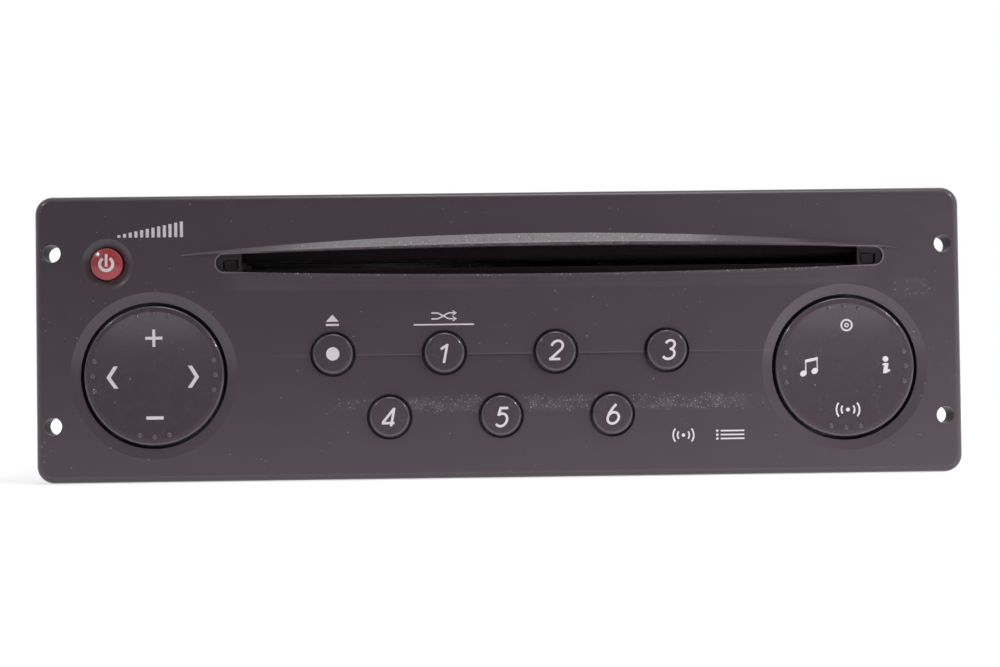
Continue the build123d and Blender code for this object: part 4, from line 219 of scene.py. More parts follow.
def panel_dust(made, x, z, over_crease, under_slot):
    """How thickly dust lies on the panel, from 0 to 1."""
    patches = made.spread(made.noise(3.2, 3.0, 0.65), 0.36, 0.56, 0.15, 1.0)
    brow = made.product(made.window(over_crease, -2.6, -0.7, 0.7), made.window(x, -24.0, 30.0, 26.0), patches)
    lip = made.product(made.window(under_slot, -0.35, 0.1, 0.15), made.window(x, -40.0, 66.0, 10.0), 0.8)
    foot = made.product(
        made.window(z, FOOT_Z + 0.2, FOOT_Z + 1.6, 1.2), made.window(x, -24.0, 44.0, 12.0), patches
    )
    beside_pad = made.product(made.window(x, 81.0, 86.5, 1.5), made.window(z, 7.0, 10.0, 1.0), 0.30)
    stray = made.spread(made.noise(13.0, 3.0, 0.6), 0.50, 0.75, 0.0, 0.05)
    return made.largest(stray, brow, lip, foot, beside_pad)


def panel_film_and_painted_light(made, x, z, over_crease):
    """Share of the pale film on the brow's slope and under the slot: partly dust, partly painted light on
    these upward-tilted faces, least in the brow's middle.
    """
    on_brow = made.product(
        made.window(over_crease, -1.9, -0.2, 0.7), made.window(x, -44.0, 60.0, 12.0),
        made.spread(made.window(x, -12.0, 30.0, 16.0), 0.0, 1.0, 0.03, 0.012),
    )
    on_lip = made.product(made.window(z, 9.9, 12.4, 0.7), made.window(x, -52.0, 72.0, 5.0), 0.028)
    uneven = made.spread(made.noise(6.0, 3.0), 0.3, 0.7, 0.7, 1.2)
    return made.product(made.largest(on_brow, on_lip), uneven)


def panel_painted_light(made, x, y, z, over_crease, under_slot, slot_bow):
    """Where the panel is painted darker or paler as light and shade would fall, each with the factor that its
    colour takes there.
    """
    # Painted shade: the sunken land at the slot's ends is darkened as if a deeper recess shadowed it.
    painted_recess_shade = made.product(
        made.spread(y, -8.85, -8.45), made.spread(over_crease, -0.4, -1.2), made.window(z, 11.0, 18.5, 0.3),
        made.window(x, -58.0, 79.0, 0.5), 0.9,
    )
    # Painted highlight: a pale line along the edge round of the slot's recess at both ends.
    past_end = made.largest(made.total(made.maths("ABSOLUTE", made.total(x, -SLOT_X)), -SLOT_REACH), 0.0)
    from_line = made.length(past_end, made.total(z, -SLOT_Z))
    painted_rim_highlight = made.product(made.window(from_line, 1.82, 2.02, 0.10), made.spread(y, -8.6, -8.8), 0.7)
    # Painted highlight: a pale, uneven line along the brow's crest just above the slot.
    over_crest = made.total(z, made.product(slot_bow, 1.60), -18.80)
    crest = made.product(
        made.window(over_crest, -0.14, 0.10, 0.10), made.window(x, -46.0, 66.0, 8.0),
        made.spread(y, FACE_Y, FACE_Y - 0.1), made.spread(made.noise(9.0, 2.0), 0.3, 0.7, 0.25, 0.7),
    )
    # Painted shade: two dark lines under the slot stand in for grooves that are not modelled.
    both_painted_groove_lines = made.largest(
        made.window(under_slot, -1.02, -0.92, 0.08), made.window(under_slot, -1.86, -1.74, 0.08)
    )
    painted_groove_shade = made.product(both_painted_groove_lines, made.window(x, -44.0, 66.0, 8.0), 0.30)
    # Painted highlight: a pale line along the scoop's upper edge.
    painted_scoop_highlight = made.product(
        made.window(z, SCOOP_Z + 0.08, SCOOP_Z + 0.24, 0.08), made.window(x, -40.0, 58.0, 12.0), 0.5
    )
    return (painted_recess_shade, 0.16), (painted_rim_highlight, 3.6), (crest, 2.6), (painted_groove_shade, 0.5), (painted_scoop_highlight, 1.9)


def panel_plastic(name, colour, roughness, dustiness):
    """The panel's satin plastic: painted shade in the slot's recess and grooves, painted highlights along its
    edges, darker reddish hole walls, and dust where it settles.
    """
    made = Finish(name, colour, roughness)
    x, y, z = (made.along(letter) for letter in "XYZ")
    over_crease = made.total(z, made.product(made.bow(x, BROW_X, BROW_HALF), BROW_DROP), -BROW_CREASE)
    slot_bow = made.bow(x, SLOT_X, SLOT_REACH)
    under_slot = made.total(z, made.product(slot_bow, -SLOT_BOW), SLOT_HALF_HEIGHT - SLOT_Z)
    plastic = made.mix(made.noise(11.0, 4.0, 0.6), shade(colour, 0.95), shade(colour, 1.05))
    # Painted shade and painted highlights, laid on one mask after another.
    for share, factor in panel_painted_light(made, x, y, z, over_crease, under_slot, slot_bow):
        plastic = made.mix(share, plastic, shade(colour, factor))
    beside = made.total(made.maths("ABSOLUTE", x), -HOLE_X)
    above = made.total(made.maths("ABSOLUTE", z), -HOLE_Z)
    in_hole = made.spread(made.length(beside, above), 1.85, 1.95, 1.0, 0.0)
    holes = made.product(in_hole, made.spread(y, -8.9, -8.6))
    plastic = made.mix(holes, plastic, HOLE_COLOUR)
    # Pale film on the brow and under the slot: dust together with painted light.
    plastic = made.mix(panel_film_and_painted_light(made, x, z, over_crease), plastic, DUST_AND_SHEEN_COLOUR)
    density = panel_dust(made, x, z, over_crease, under_slot)
    made.set("Base Color", dusty(made, plastic, dustiness, density))
    smooth = made.spread(made.noise(3.0, 3.0), 0.3, 0.7, roughness - 0.04, roughness + 0.05)
    made.set("Roughness", made.total(smooth, made.product(density, 0.15)))
    made.set("Specular IOR Level", made.spread(holes, 0.0, 1.0, 0.32, 0.05))
    made.set("Coat Weight", made.spread(holes, 0.0, 1.0, 0.5, 0.0))
    made.set("Coat Roughness", 0.16)
    made.bump(made.noise(0.30, 2.0, 0.6), 0.010)
    return made.material


def sheet_metal(name, colour, roughness):
    """Zinc-plated sheet with a faint spangle, rolling marks and handling smudges."""
    made = Finish(name, colour, roughness, 1.0)
    spangle = made.node("ShaderNodeSeparateColor", Color=made.cells(2.4)[1]).outputs[0]
    tone = made.mix(spangle, shade(colour, 0.97), shade(colour, 1.03))
    smudge = made.spread(made.noise(40.0, 2.0, 0.5), 0.45, 0.85, 0.0, 0.20)
    made.set("Base Color", made.mix(smudge, tone, shade(colour, 0.7)))
    lines = made.noise(0.5, 2.0, 0.5, (1, 0.04, 1))
    uneven = made.total(made.product(spangle, 0.25), made.product(lines, 0.75))
    made.set("Roughness", made.spread(uneven, 0.2, 0.8, roughness - 0.05, roughness + 0.06))
    made.bump(lines, 0.004)
    return made.material


def turned_metal(name, colour, roughness, size=0.4):
    """Plated or turned metal with fine marks and slight staining."""
    made = Finish(name, colour, roughness, 1.0)
    stain = made.spread(made.noise(4.0, 4.0, 0.6), 0.45, 0.75, 0.0, 0.5)
    made.set("Base Color", made.mix(stain, colour, shade(colour, 0.72)))
    made.set("Roughness", made.spread(made.noise(size, 3.0), 0.3, 0.7, roughness - 0.08, roughness + 0.1))
    made.bump(made.noise(size, 2.0), 0.008)
    return made.material


def board_laminate(name, colour):
    """Green solder mask over copper, with tracks, vias and a little flux."""
    made = Finish(name, colour, 0.35)
    tracks = made.spread(made.cells(3.2, "DISTANCE_TO_EDGE")[0], 0.05, 0.08)
    wide = made.mix(tracks, shade(colour, 1.7), colour)
    vias = specks(made, 3.6, 0.14, 0.35)
    drilled = made.mix(vias, wide, (0.35, 0.33, 0.28))
    flux = made.spread(made.noise(11.0, 3.0), 0.5, 0.7, 0.0, 0.4)
    made.set("Base Color", made.mix(flux, drilled, shade(colour, 0.6)))
    made.set("Roughness", made.spread(made.noise(6.0, 2.0), 0.3, 0.7, 0.26, 0.45))
    made.bump(tracks, 0.03)
    return made.material


def fibrous(name, colour):
    """Pressed felt: matt, with short fibres and a soft nap."""
    made = Finish(name, colour, 0.95)
    fibres = made.noise(0.22, 4.0, 0.7, (1, 1, 0.3))
    made.set("Base Color", made.mix(fibres, shade(colour, 0.5), shade(colour, 1.9)))
    made.set("Specular IOR Level", 0.15)
    made.bump(fibres, 0.12)
    return made.material


def plain_rubber(name, colour):
    """Matt silicone with a slight bloom."""
    made = Finish(name, colour, 0.7)
    bloom = made.mix(made.noise(5.0, 3.0), shade(colour, 0.8), shade(colour, 1.3))
    made.set("Base Color", bloom)
    made.bump(made.noise(0.5, 3.0), 0.02)
    return made.material


def smoked_clear(name, colour):
    """Tinted acrylic with a clear gloss and a little unevenness."""
    made = Finish(name, colour, 0.12)
    made.set("Base Color", made.mix(made.noise(1.2, 2.0), shade(colour, 0.7), shade(colour, 1.2)))
    made.set("Coat Weight", 0.6)
    made.set("Coat Roughness", 0.05)
    return made.material


def printed_ink(name, colour):
    """Pad-printed ink: matt and slightly worn."""
    made = Finish(name, colour, 0.55)
    wear = made.spread(made.noise(0.5, 3.0, 0.6), 0.66, 0.8, 0.0, 0.3)
    made.set("Base Color", made.mix(wear, colour, shade(colour, 0.75)))
    made.bump(made.noise(0.3, 2.0), 0.005)
    return made.material


# What a user would change

class RadioFinishes(bpy.types.PropertyGroup):
    panel_colour: bpy.props.FloatVectorProperty(
        name="Panel colour", description="Plastic of the front panel", subtype="COLOR",
        size=3, min=0, max=1, default=(0.055, 0.040, 0.051),
    )
    key_colour: bpy.props.FloatVectorProperty(
        name="Key colour", description="Plastic of the round keys and pads", subtype="COLOR",
        size=3, min=0, max=1, default=(0.055, 0.040, 0.051),
    )
    power_colour: bpy.props.FloatVectorProperty(
        name="Power key colour", description="Plastic of the power key", subtype="COLOR",
        size=3, min=0, max=1, default=(0.32, 0.031, 0.040),
    )
    ink_colour: bpy.props.FloatVectorProperty(
        name="Ink colour", description="Printed digits and symbols", subtype="COLOR",
        size=3, min=0, max=1, default=(0.62, 0.555, 0.595),
    )
    dustiness: bpy.props.FloatProperty(
        name="Dust", description="How much dust lies on the panel", subtype="FACTOR",
        min=0, max=1, default=0.6,
    )


class RadioMarks(bpy.types.PropertyGroup):
    stroke_width: bpy.props.FloatProperty(
        name="Stroke width", description="Width of the lines that the digits are drawn with",
        subtype="DISTANCE", unit="LENGTH", min=0.0001, default=0.0005,
    )
    ink_thickness: bpy.props.FloatProperty(
        name="Ink thickness", description="How far the print stands off the plastic", subtype="DISTANCE",
        unit="LENGTH", min=0.00001, default=0.00002,
    )
    slant: bpy.props.FloatProperty(
        name="Slant", description="How far a digit leans for each unit of its height",
        min=0, max=0.6, default=0.2,
    )


class RadioStudio(bpy.types.PropertyGroup):
    floor_colour: bpy.props.FloatVectorProperty(
        name="Floor colour", description="Colour of the floor", subtype="COLOR",
        size=3, min=0, max=1, default=(0.86, 0.86, 0.86),
    )
    lamp_power: bpy.props.FloatProperty(
        name="Lamp power", description="Power that the lamps share out",
        unit="POWER", min=0, default=2.4,
    )
    surround: bpy.props.FloatProperty(
        name="Surround", description="Strength of the even light around the radio", min=0, default=0.04,
    )
    lens: bpy.props.FloatProperty(
        name="Lens", description="Focal length of the camera, in millimetres", min=10, default=94.0,
    )


# Small helpers for modelling

def only(obj):
    """Selects this object alone and makes it active."""
    bpy.ops.object.select_all(action="DESELECT")
    obj.select_set(True)
    bpy.context.view_layer.objects.active = obj


def added():
    return bpy.context.view_layer.objects.active


def settle(obj):
    """Puts the object's place into its mesh."""
    only(obj)
    bpy.ops.object.transform_apply(location=True, rotation=True, scale=True)
    return obj


def pick(obj, wanted):
    """Goes into edit mode with only the corners of these numbers selected."""
    only(obj)
    bpy.ops.object.mode_set(mode="EDIT")
    bpy.ops.mesh.select_mode(type="VERT")
    bpy.ops.mesh.select_all(action="DESELECT")
    bpy.ops.object.mode_set(mode="OBJECT")
    for corner in obj.data.vertices:
        corner.select = corner.index in wanted
    bpy.ops.object.mode_set(mode="EDIT")


def apply_modifier(obj, kind, **settings):
    only(obj)
    modifier = obj.modifiers.new(kind.title(), kind)
    for key, value in settings.items():
        setattr(modifier, key, value)
    bpy.ops.object.modifier_apply(modifier=modifier.name)


def join(parts):
    bpy.ops.object.select_all(action="DESELECT")
    for part in parts:
        part.select_set(True)
    bpy.context.view_layer.objects.active = parts[0]
    if len(parts) > 1:
        bpy.ops.object.join()
    return added()


def dress(node, material):
    """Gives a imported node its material."""
    for slot in frame["nodes"][node].material_slots:
        slot.material = material


# Flat shapes in millimetres, drawn in XY before they are printed on a face

STRIP_START = 0.02


def band(points, width, facing=None):
    """A line through points: a short strip whose end is extruded from point to point.

    The end turns with the line, or always faces the same way, in degrees.
    """
    turning = facing is None
    ways = [math.atan2(b[1] - a[1], b[0] - a[0]) for a, b in zip(points, points[1:])]
    stand = ways[0] if turning else math.radians(facing)
    bpy.ops.object.select_all(action="DESELECT")
    bpy.ops.mesh.primitive_plane_add(
        size=MM, location=(points[0][0] * MM, points[0][1] * MM, 0), rotation=(0, 0, stand)
    )
    strip = added()
    strip.scale = (STRIP_START, width, 1)
    settle(strip)
    pick(strip, (1, 3))
    for k, (here, there) in enumerate(zip(points, points[1:])):
        step = ((there[0] - here[0]) * MM, (there[1] - here[1]) * MM, 0)
        bpy.ops.mesh.extrude_region_move(TRANSFORM_OT_translate={"value": step})
        if turning:
            turn = ways[min(k + 1, len(ways) - 1)] - ways[k]
            goal = ways[k] + math.remainder(turn, 2 * math.pi) / 2
            bpy.ops.transform.rotate(
                value=math.remainder(stand - goal, 2 * math.pi), orient_axis="Z",
                center_override=(there[0] * MM, there[1] * MM, 0),
            )
            stand = goal
    bpy.ops.object.mode_set(mode="OBJECT")
    return strip


def disc(x, y, width, height=None, turn=0.0):
    """A round or oval spot."""
    bpy.ops.object.select_all(action="DESELECT")
    bpy.ops.mesh.primitive_circle_add(
        vertices=36, radius=MM / 2, fill_type="NGON", location=(x * MM, y * MM, 0),
        rotation=(0, 0, math.radians(turn)),
    )
    spot = added()
    spot.scale = (width, height or width, 1)
    return settle(spot)


def ring(x, y, width, line):
    """A spot with its middle inset and taken out."""
    spot = disc(x, y, width)
    bpy.ops.object.mode_set(mode="EDIT")
    bpy.ops.mesh.select_all(action="SELECT")
    bpy.ops.mesh.inset(thickness=line * MM)
    bpy.ops.mesh.delete(type="FACE")
    bpy.ops.object.mode_set(mode="OBJECT")
    return spot


def arc(x, y, across, up, start, end, steps=14):
    """Points along part of an oval, angles in degrees."""
    angles = [math.radians(start + (end - start) * k / steps) for k in range(steps + 1)]
    return [(x + across * math.cos(a), y + up * math.sin(a)) for a in angles]


def waves(x, y, spot, reaches, half_angle, width):
    """A spot with arcs on both sides."""
    parts = [disc(x, y, spot)]
    for middle in (0, 180):
        for reach in reaches:
            points = arc(x, y, reach, reach, middle - half_angle, middle + half_angle, 8)
            parts.append(band(points, width))
    return parts


def lean(points, slant, x, y):
    """Points of a digit moved to x, y and slanted."""
    return [(x + px + slant * py, y + py) for px, py in points]


def print_on(parts, centre, node, body, ink, thickness, name):
    """Stands flat shapes upright in front of a face, lays them on it and thickens each a little more."""
    for k, part in enumerate(parts):
        part.rotation_euler = (math.pi / 2, 0, 0)
        part.location = (centre[0] * MM, AHEAD_OF_PANEL * MM, centre[1] * MM)
        settle(part)
        apply_modifier(
            part, "SHRINKWRAP", target=frame["nodes"][node], wrap_method="PROJECT", use_project_y=True,
            use_positive_direction=True, use_negative_direction=False,
        )
        apply_modifier(part, "SOLIDIFY", thickness=thickness * (1 + 0.12 * k), offset=1.0)
    shape = join(parts)
    shape.name = name
    shape.data.materials.append(ink)
    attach(shape, body)


# Digits as lines, each measured from the middle of its key
DIGITS = {
    1: ((0.18, -0.20), [[(0, 1.90), (0, -1.90)], [(0.10, 1.80), (-1.12, 0.88)]]),
    2: ((0.15, 0.20), [
        arc(-0.05, 0.80, 1.13, 1.10, 175, -35) + [(-0.88, -1.72)], [(-1.18, -1.80), (1.05, -1.80)],
    ]),
    3: ((0.30, 0.05), [
        arc(-0.05, 0.95, 0.95, 0.92, 160, -82), arc(0.05, -0.90, 1.15, 1.02, 84, -155),
    ]),
    4: ((0.02, 0.0), [
        [(0.60, 1.72), (-1.22, -1.20)], [(-1.34, -1.26), (1.16, -1.26)], [(0.60, 1.80), (0.60, -1.90)],
    ]),
    5: ((0.12, -0.30), [
        [(0.95, 1.78), (-0.62, 1.78)], [(-0.55, 1.98), (-0.78, 0.25)], arc(0.0, -0.62, 1.15, 1.28, 132, -142),
    ]),
    6: ((0.12, 0.0), [
        [(0.22, 1.98), (-0.30, 1.22), (-0.72, 0.42), (-0.98, -0.35)],
        arc(0.12, -0.80, 1.12, 1.14, 165, 525, 28),
    ]),
}


# Operators, one for each group of pieces

class RADIO_OT_stage(bpy.types.Operator):
    """Sets up the floor, the lamps, the white surround and the camera"""

    bl_idname = "radio.stage"
    bl_label = "Studio"

    # Name, place in metres, width in metres, power as a share of the whole, and whether it is mirrored
    LAMPS = (
        ("lamp_upper_left", (-0.56, -0.62, 0.50), 0.07, 0.53, True),
        ("lamp_upper_right", (0.56, -0.62, 0.42), 0.07, 0.56, True),
        ("lamp_right", (0.24, -0.16, 0.06), 0.16, 0.170, False),
        ("lamp_overhead", (0.05, -0.30, 0.90), 0.40, 0.80, True),
    )

    # The radio lies on the panel's foot and the case's rear edge, so the floor leans under it
    SLOPE = math.atan2(4.0, 155.0)
    FLOOR_MIDDLE = (0, -0.25, -0.03547)
    FLOOR_SIZE = (2.6, 1.5, 1)
    # The floor's glow grows from its value at the radio to 1 between these distances, in millimetres
    GLOW_NEAR, GLOW_FAR, GLOW_AT_RADIO = 110.0, 420.0, 0.66
    # The table's light: place and size in metres, and power as a share of the whole
    TABLE_PLACE = (0, -0.040, -0.0297)
    TABLE_SIZE = (0.26, 0.06)
    TABLE_SHARE = 0.023
    # Yaw, pitch and roll in degrees, and place in millimetres
    CAMERA_TURN = (1.433, 1.636, -0.759)
    CAMERA_PLACE = (-13.28, -539.0, -14.92)

    def execute(self, context):
        studio = context.scene.radio_studio
        self.floor(studio)
        self.surround(context, studio)
        for name, place, width, share, mirrored in self.LAMPS:
            lamp = self.lamp(name, Vector(place), width, studio.lamp_power * share)
            lamp.visible_glossy = mirrored
        self.table(studio)
        self.camera(context, studio)
        return {"FINISHED"}

    def floor(self, studio):
        bpy.ops.object.select_all(action="DESELECT")
        bpy.ops.mesh.primitive_plane_add(size=1.0)
        floor = added()
        floor.name = "studio_floor"
        floor.scale = self.FLOOR_SIZE
        settle(floor)
        floor.rotation_euler = (self.SLOPE, 0, 0)
        floor.location = self.FLOOR_MIDDLE
        settle(floor)
        made = Finish("studio_floor", tuple(studio.floor_colour), 0.8)
        path = made.node("ShaderNodeLightPath")
        rays = ("Is Camera Ray", "Is Glossy Ray", "Is Transmission Ray")
        seen = made.largest(*(path.outputs[ray] for ray in rays))
        away = made.length(made.along("X"), made.along("Y"))
        white = made.product(seen, made.spread(away, self.GLOW_NEAR, self.GLOW_FAR, self.GLOW_AT_RADIO, 1.0))
        glow = made.node("ShaderNodeEmission", Color=(1, 1, 1, 1), Strength=white)
        both = made.node("ShaderNodeAddShader")
        made.tree.links.new(made.shader.outputs[0], both.inputs[0])
        made.tree.links.new(glow.outputs[0], both.inputs[1])
        made.tree.links.new(both.outputs[0], made.tree.nodes["Material Output"].inputs["Surface"])
        made.set("Specular IOR Level", 0.0)
        floor.data.materials.append(made.material)

    def surround(self, context, studio):
        """White all round, but dark behind the camera for what mirrors it."""
        world = bpy.data.worlds.new("studio_surround")
        context.scene.world = world
        world.use_nodes = True
        tree = world.node_tree
        plain = tree.nodes["Background"]
        plain.inputs["Color"].default_value = (1, 1, 1, 1)
        path = tree.nodes.new("ShaderNodeLightPath")
        way = tree.nodes.new("ShaderNodeTexCoord")
        split = tree.nodes.new("ShaderNodeSeparateXYZ")
        tree.links.new(way.outputs["Generated"], split.inputs[0])
        dim = tree.nodes.new("ShaderNodeMapRange")
        for key, number in (("From Min", -1.0), ("From Max", -0.35), ("To Min", 0.05), ("To Max", 1.0)):
            dim.inputs[key].default_value = number
        tree.links.new(split.outputs["Y"], dim.inputs["Value"])

        def choose(flag, when_set, otherwise):
            mixer = tree.nodes.new("ShaderNodeMix")
            tree.links.new(path.outputs[flag], mixer.inputs["Factor"])
            for socket, value in ((mixer.inputs[2], otherwise), (mixer.inputs[3], when_set)):
                if isinstance(value, bpy.types.NodeSocket):
                    tree.links.new(value, socket)
                else:
                    socket.default_value = value
            return mixer.outputs[0]

        strength = choose("Is Glossy Ray", dim.outputs[0], studio.surround)
        strength = choose("Is Transmission Ray", 1.0, strength)
        strength = choose("Is Camera Ray", 1.0, strength)
        tree.links.new(strength, plain.inputs["Strength"])

    def lamp(self, name, place, width, power):
        light = bpy.data.lights.new(name, "AREA")
        light.shape = "DISK"
        light.size = width
        light.energy = power
        obj = bpy.data.objects.new(name, light)
        bpy.context.collection.objects.link(obj)
        obj.location = place
        obj.rotation_mode = "QUATERNION"
        obj.rotation_quaternion = (-place).to_track_quat("-Z", "Y")
        obj.visible_camera = False
        return obj

    def table(self, studio):
        """The light that a white table gives back, strongest at the panel's foot."""
        width, depth = self.TABLE_SIZE
        power = studio.lamp_power * self.TABLE_SHARE
        strip = self.lamp("lamp_table", Vector(self.TABLE_PLACE), width, power)
        strip.data.shape = "RECTANGLE"
        strip.data.size_y = depth
        strip.rotation_mode = "XYZ"
        strip.rotation_euler = (math.pi + self.SLOPE, 0, 0)
        strip.visible_glossy = False

    def camera(self, context, studio):
        yaw, pitch, roll = (math.radians(angle) for angle in self.CAMERA_TURN)
        ahead = Vector((math.sin(yaw) * math.cos(pitch), math.cos(yaw) * math.cos(pitch), math.sin(pitch)))
        right = Vector((math.cos(yaw), -math.sin(yaw), 0))
        up = right.cross(ahead)
        turned_right = math.cos(roll) * right + math.sin(roll) * up
        turned_up = -math.sin(roll) * right + math.cos(roll) * up
        data = bpy.data.cameras.new("studio_camera")
        data.lens = studio.lens
        data.sensor_width = 36
        data.clip_start, data.clip_end = 0.01, 100
        camera = bpy.data.objects.new("studio_camera", data)
        bpy.context.collection.objects.link(camera)
        place = Matrix.Translation(Vector(self.CAMERA_PLACE) * MM)
        camera.matrix_world = place @ Matrix((turned_right, turned_up, -ahead)).transposed().to_4x4()
        context.scene.camera = camera
        context.scene.view_settings.view_transform = "Standard"


class RADIO_OT_front(bpy.types.Operator):
    """Finishes the front panel, the keys, the pads and the slot"""

    bl_idname = "radio.front"
    bl_label = "Front"

    def execute(self, context):
        chosen = context.scene.radio_finishes
        dress("faceplate", panel_plastic("panel_plastic", tuple(chosen.panel_colour), 0.36, chosen.dustiness))
        keys = satin_plastic("key_plastic", tuple(chosen.key_colour), 0.25, 0.005, chosen.dustiness * 0.5)
        for node in ["eject_button", "left_pad", "right_pad"] + [f"preset_button_{n}" for n in DIGITS]:
            dress(node, keys)
        dress("power_button", satin_plastic("power_plastic", tuple(chosen.power_colour), 0.28, 0.005, 0.1))
        dress("slot_felts", fibrous("slot_felt", (0.010, 0.007, 0.008)))
        dress("slot_light_guides", smoked_clear("smoked_clear", (0.02, 0.018, 0.02)))
        return {"FINISHED"}


class RADIO_OT_brow(bpy.types.Operator):
    """Models the brow over the slot: a slope that leans out to a lip and fades at both ends"""

    bl_idname = "radio.brow"
    bl_label = "Brow"

    # Stretches between sections, and how far along its half length the brow is carried
    STRETCHES, END = 36, 0.99
    # Reach of the lip, depth of the back in the panel and height of the first bar, in millimetres
    REACH, SUNK, START_Z = 1.4, 0.1, 17.0

    def section(self, share):
        """X of one section, from -1 to 1 along the brow, and its corners' y and z by front and top."""
        x = BROW_X + share * BROW_HALF
        crease = BROW_CREASE - BROW_DROP * share * share
        edge = SLOT_Z + SLOT_HALF_HEIGHT - SLOT_BOW * ((x - SLOT_X) / SLOT_REACH) ** 2
        crest = min(edge + 0.55 + 0.35 * share, crease - 0.3)
        foot = min(edge, crest - 0.15) + 0.02
        front = FACE_Y - self.REACH * (math.sqrt(1 - share * share) - 0.12)
        back = FACE_Y + self.SUNK
        return x, {
            (True, True): (front, crest), (True, False): (front, foot),
            (False, True): (back, crease + self.SUNK), (False, False): (back, foot),
        }

    def execute(self, context):
        shares = [self.END * (2 * k / self.STRETCHES - 1) for k in range(self.STRETCHES + 1)]
        sections = [self.section(share) for share in shares]
        bpy.ops.object.select_all(action="DESELECT")
        bpy.ops.mesh.primitive_plane_add(
            size=MM, location=(sections[0][0] * MM, FACE_Y * MM, self.START_Z * MM),
            rotation=(0, math.pi / 2, 0),
        )
        brow = settle(added())
        pick(brow, range(4))
        for (here, _), (there, _) in zip(sections, sections[1:]):
            bpy.ops.mesh.extrude_region_move(TRANSFORM_OT_translate={"value": ((there - here) * MM, 0, 0)})
        bpy.ops.object.mode_set(mode="OBJECT")
        for index, move in self.moves(brow, sections):
            pick(brow, (index,))
            bpy.ops.transform.translate(value=move)
            bpy.ops.object.mode_set(mode="OBJECT")
        pick(brow, range(len(brow.data.vertices)))
        bpy.ops.mesh.normals_make_consistent(inside=False)
        bpy.ops.object.mode_set(mode="OBJECT")
        bpy.ops.object.shade_smooth_by_angle(angle=math.radians(20))
        brow.name = "brow"
        brow.data.materials.append(frame["nodes"]["faceplate"].material_slots[0].material)
        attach(brow, "root")
        return {"FINISHED"}

    def moves(self, brow, sections):
        """How far each corner of the straight bar has to go to its place in its section."""
        found = []
        for x, corners in sections:
            for corner in brow.data.vertices:
                if abs(corner.co.x - x * MM) < 0.01 * MM:
                    y, z = corners[corner.co.y < FACE_Y * MM, corner.co.z > self.START_Z * MM]
                    found.append((corner.index, (0, y * MM - corner.co.y, z * MM - corner.co.z)))
        return found


class RADIO_OT_inside(bpy.types.Operator):
    """Finishes the boards, the deck and everything else behind the panel"""

    bl_idname = "radio.inside"
    bl_label = "Inside"

    def execute(self, context):
        makers = {
            "grey_plastic": satin_plastic("moulded_acetal", (0.022, 0.018, 0.019), 0.5, 0.01, 0.1),
            "silicone_rubber": plain_rubber("silicone", (0.016, 0.015, 0.016)),
            "board_laminate": board_laminate("board_laminate", (0.012, 0.075, 0.03)),
            "black_plastic": satin_plastic("moulded_black", (0.010, 0.009, 0.009), 0.4, 0.01, 0.15),
            "brass": turned_metal("turned_brass", (0.72, 0.50, 0.20), 0.28),
            "tinned_brass": turned_metal("tinned_brass", (0.70, 0.69, 0.65), 0.3),
            "can_sleeve": satin_plastic("can_sleeve", (0.012, 0.014, 0.03), 0.25, 0.004, 0.1),
            "fuse_plastic": smoked_clear("fuse_plastic", (0.42, 0.03, 0.02)),
            "ribbon_plastic": satin_plastic("ribbon_plastic", (0.62, 0.62, 0.60), 0.5, 0.01, 0.1),
        }
        for part in frame["record"]["subparts"]:
            if part["material_slot"] in makers:
                dress(part["node"], makers[part["material_slot"]])
        return {"FINISHED"}


class RADIO_OT_case(bpy.types.Operator):
    """Finishes the steel case, the screws, the springs and the heatsink"""

    bl_idname = "radio.case"
    bl_label = "Case"

    def execute(self, context):
        groups = (
            (sheet_metal("zinc_sheet", (0.50, 0.51, 0.53), 0.36), (
                "chassis", "top_cover", "rear_panel", "deck_frame", "traverse_plate", "clamp_arm",
                "tuner_can", "amplifier_clamp",
            )),
            (turned_metal("plated_steel", (0.56, 0.56, 0.54), 0.3), (
                "board_screws", "case_screws", "rear_stud", "clamp_pin", "guide_rods", "roller_shaft",
            )),
            (turned_metal("spring_steel", (0.36, 0.35, 0.34), 0.26, 0.3), (
                "latch_spring_left", "latch_spring_right",
            )),
            (turned_metal("extruded_aluminium", (0.66, 0.67, 0.68), 0.4, 0.6), (
                "heatsink", "spindle_motor", "load_motor", "sled_motor",
            )),
        )
        for material, nodes in groups:
            for node in nodes:
                dress(node, material)
        return {"FINISHED"}


class Printing:
    """What the printing operators share: the ink and its thickness."""

    def ready(self, context):
        self.marks = context.scene.radio_marks
        self.line = self.marks.stroke_width / MM
        self.ink = bpy.data.materials.get("printed_ink")
        if self.ink is None:
            self.ink = printed_ink("printed_ink", tuple(context.scene.radio_finishes.ink_colour))

    def put(self, parts, centre, node, body, name):
        print_on(parts, centre, node, body, self.ink, self.marks.ink_thickness, name)


class RADIO_OT_digits(Printing, bpy.types.Operator):
    """Prints the digits 1 to 6 on the preset keys"""

    bl_idname = "radio.digits"
    bl_label = "Digits"

    def execute(self, context):
        self.ready(context)
        for number, ((x, y), lines) in DIGITS.items():
            parts = [band(lean(line, self.marks.slant, x, y), self.line) for line in lines]
            node, body = f"preset_button_{number}", f"preset_key_{number}"
            self.put(parts, KEYS[number], node, body, f"digit_{number}")
        return {"FINISHED"}


class RADIO_OT_key_marks(Printing, bpy.types.Operator):
    """Prints the dot on the eject key and the power symbol on the power key"""

    bl_idname = "radio.key_marks"
    bl_label = "Key marks"

    def execute(self, context):
        self.ready(context)
        self.put([disc(0, 0, 2.7)], KEYS["eject"], "eject_button", "eject_key", "eject_dot")
        bar = [(0, 2.0 - 0.25 * k) for k in range(11)]
        parts = [band(arc(0, 0, 1.31, 1.31, 122, 418, 32), 0.62), band(bar, 0.54)]
        self.put(parts, POWER, "power_button", "power_key", "power_symbol")
        return {"FINISHED"}


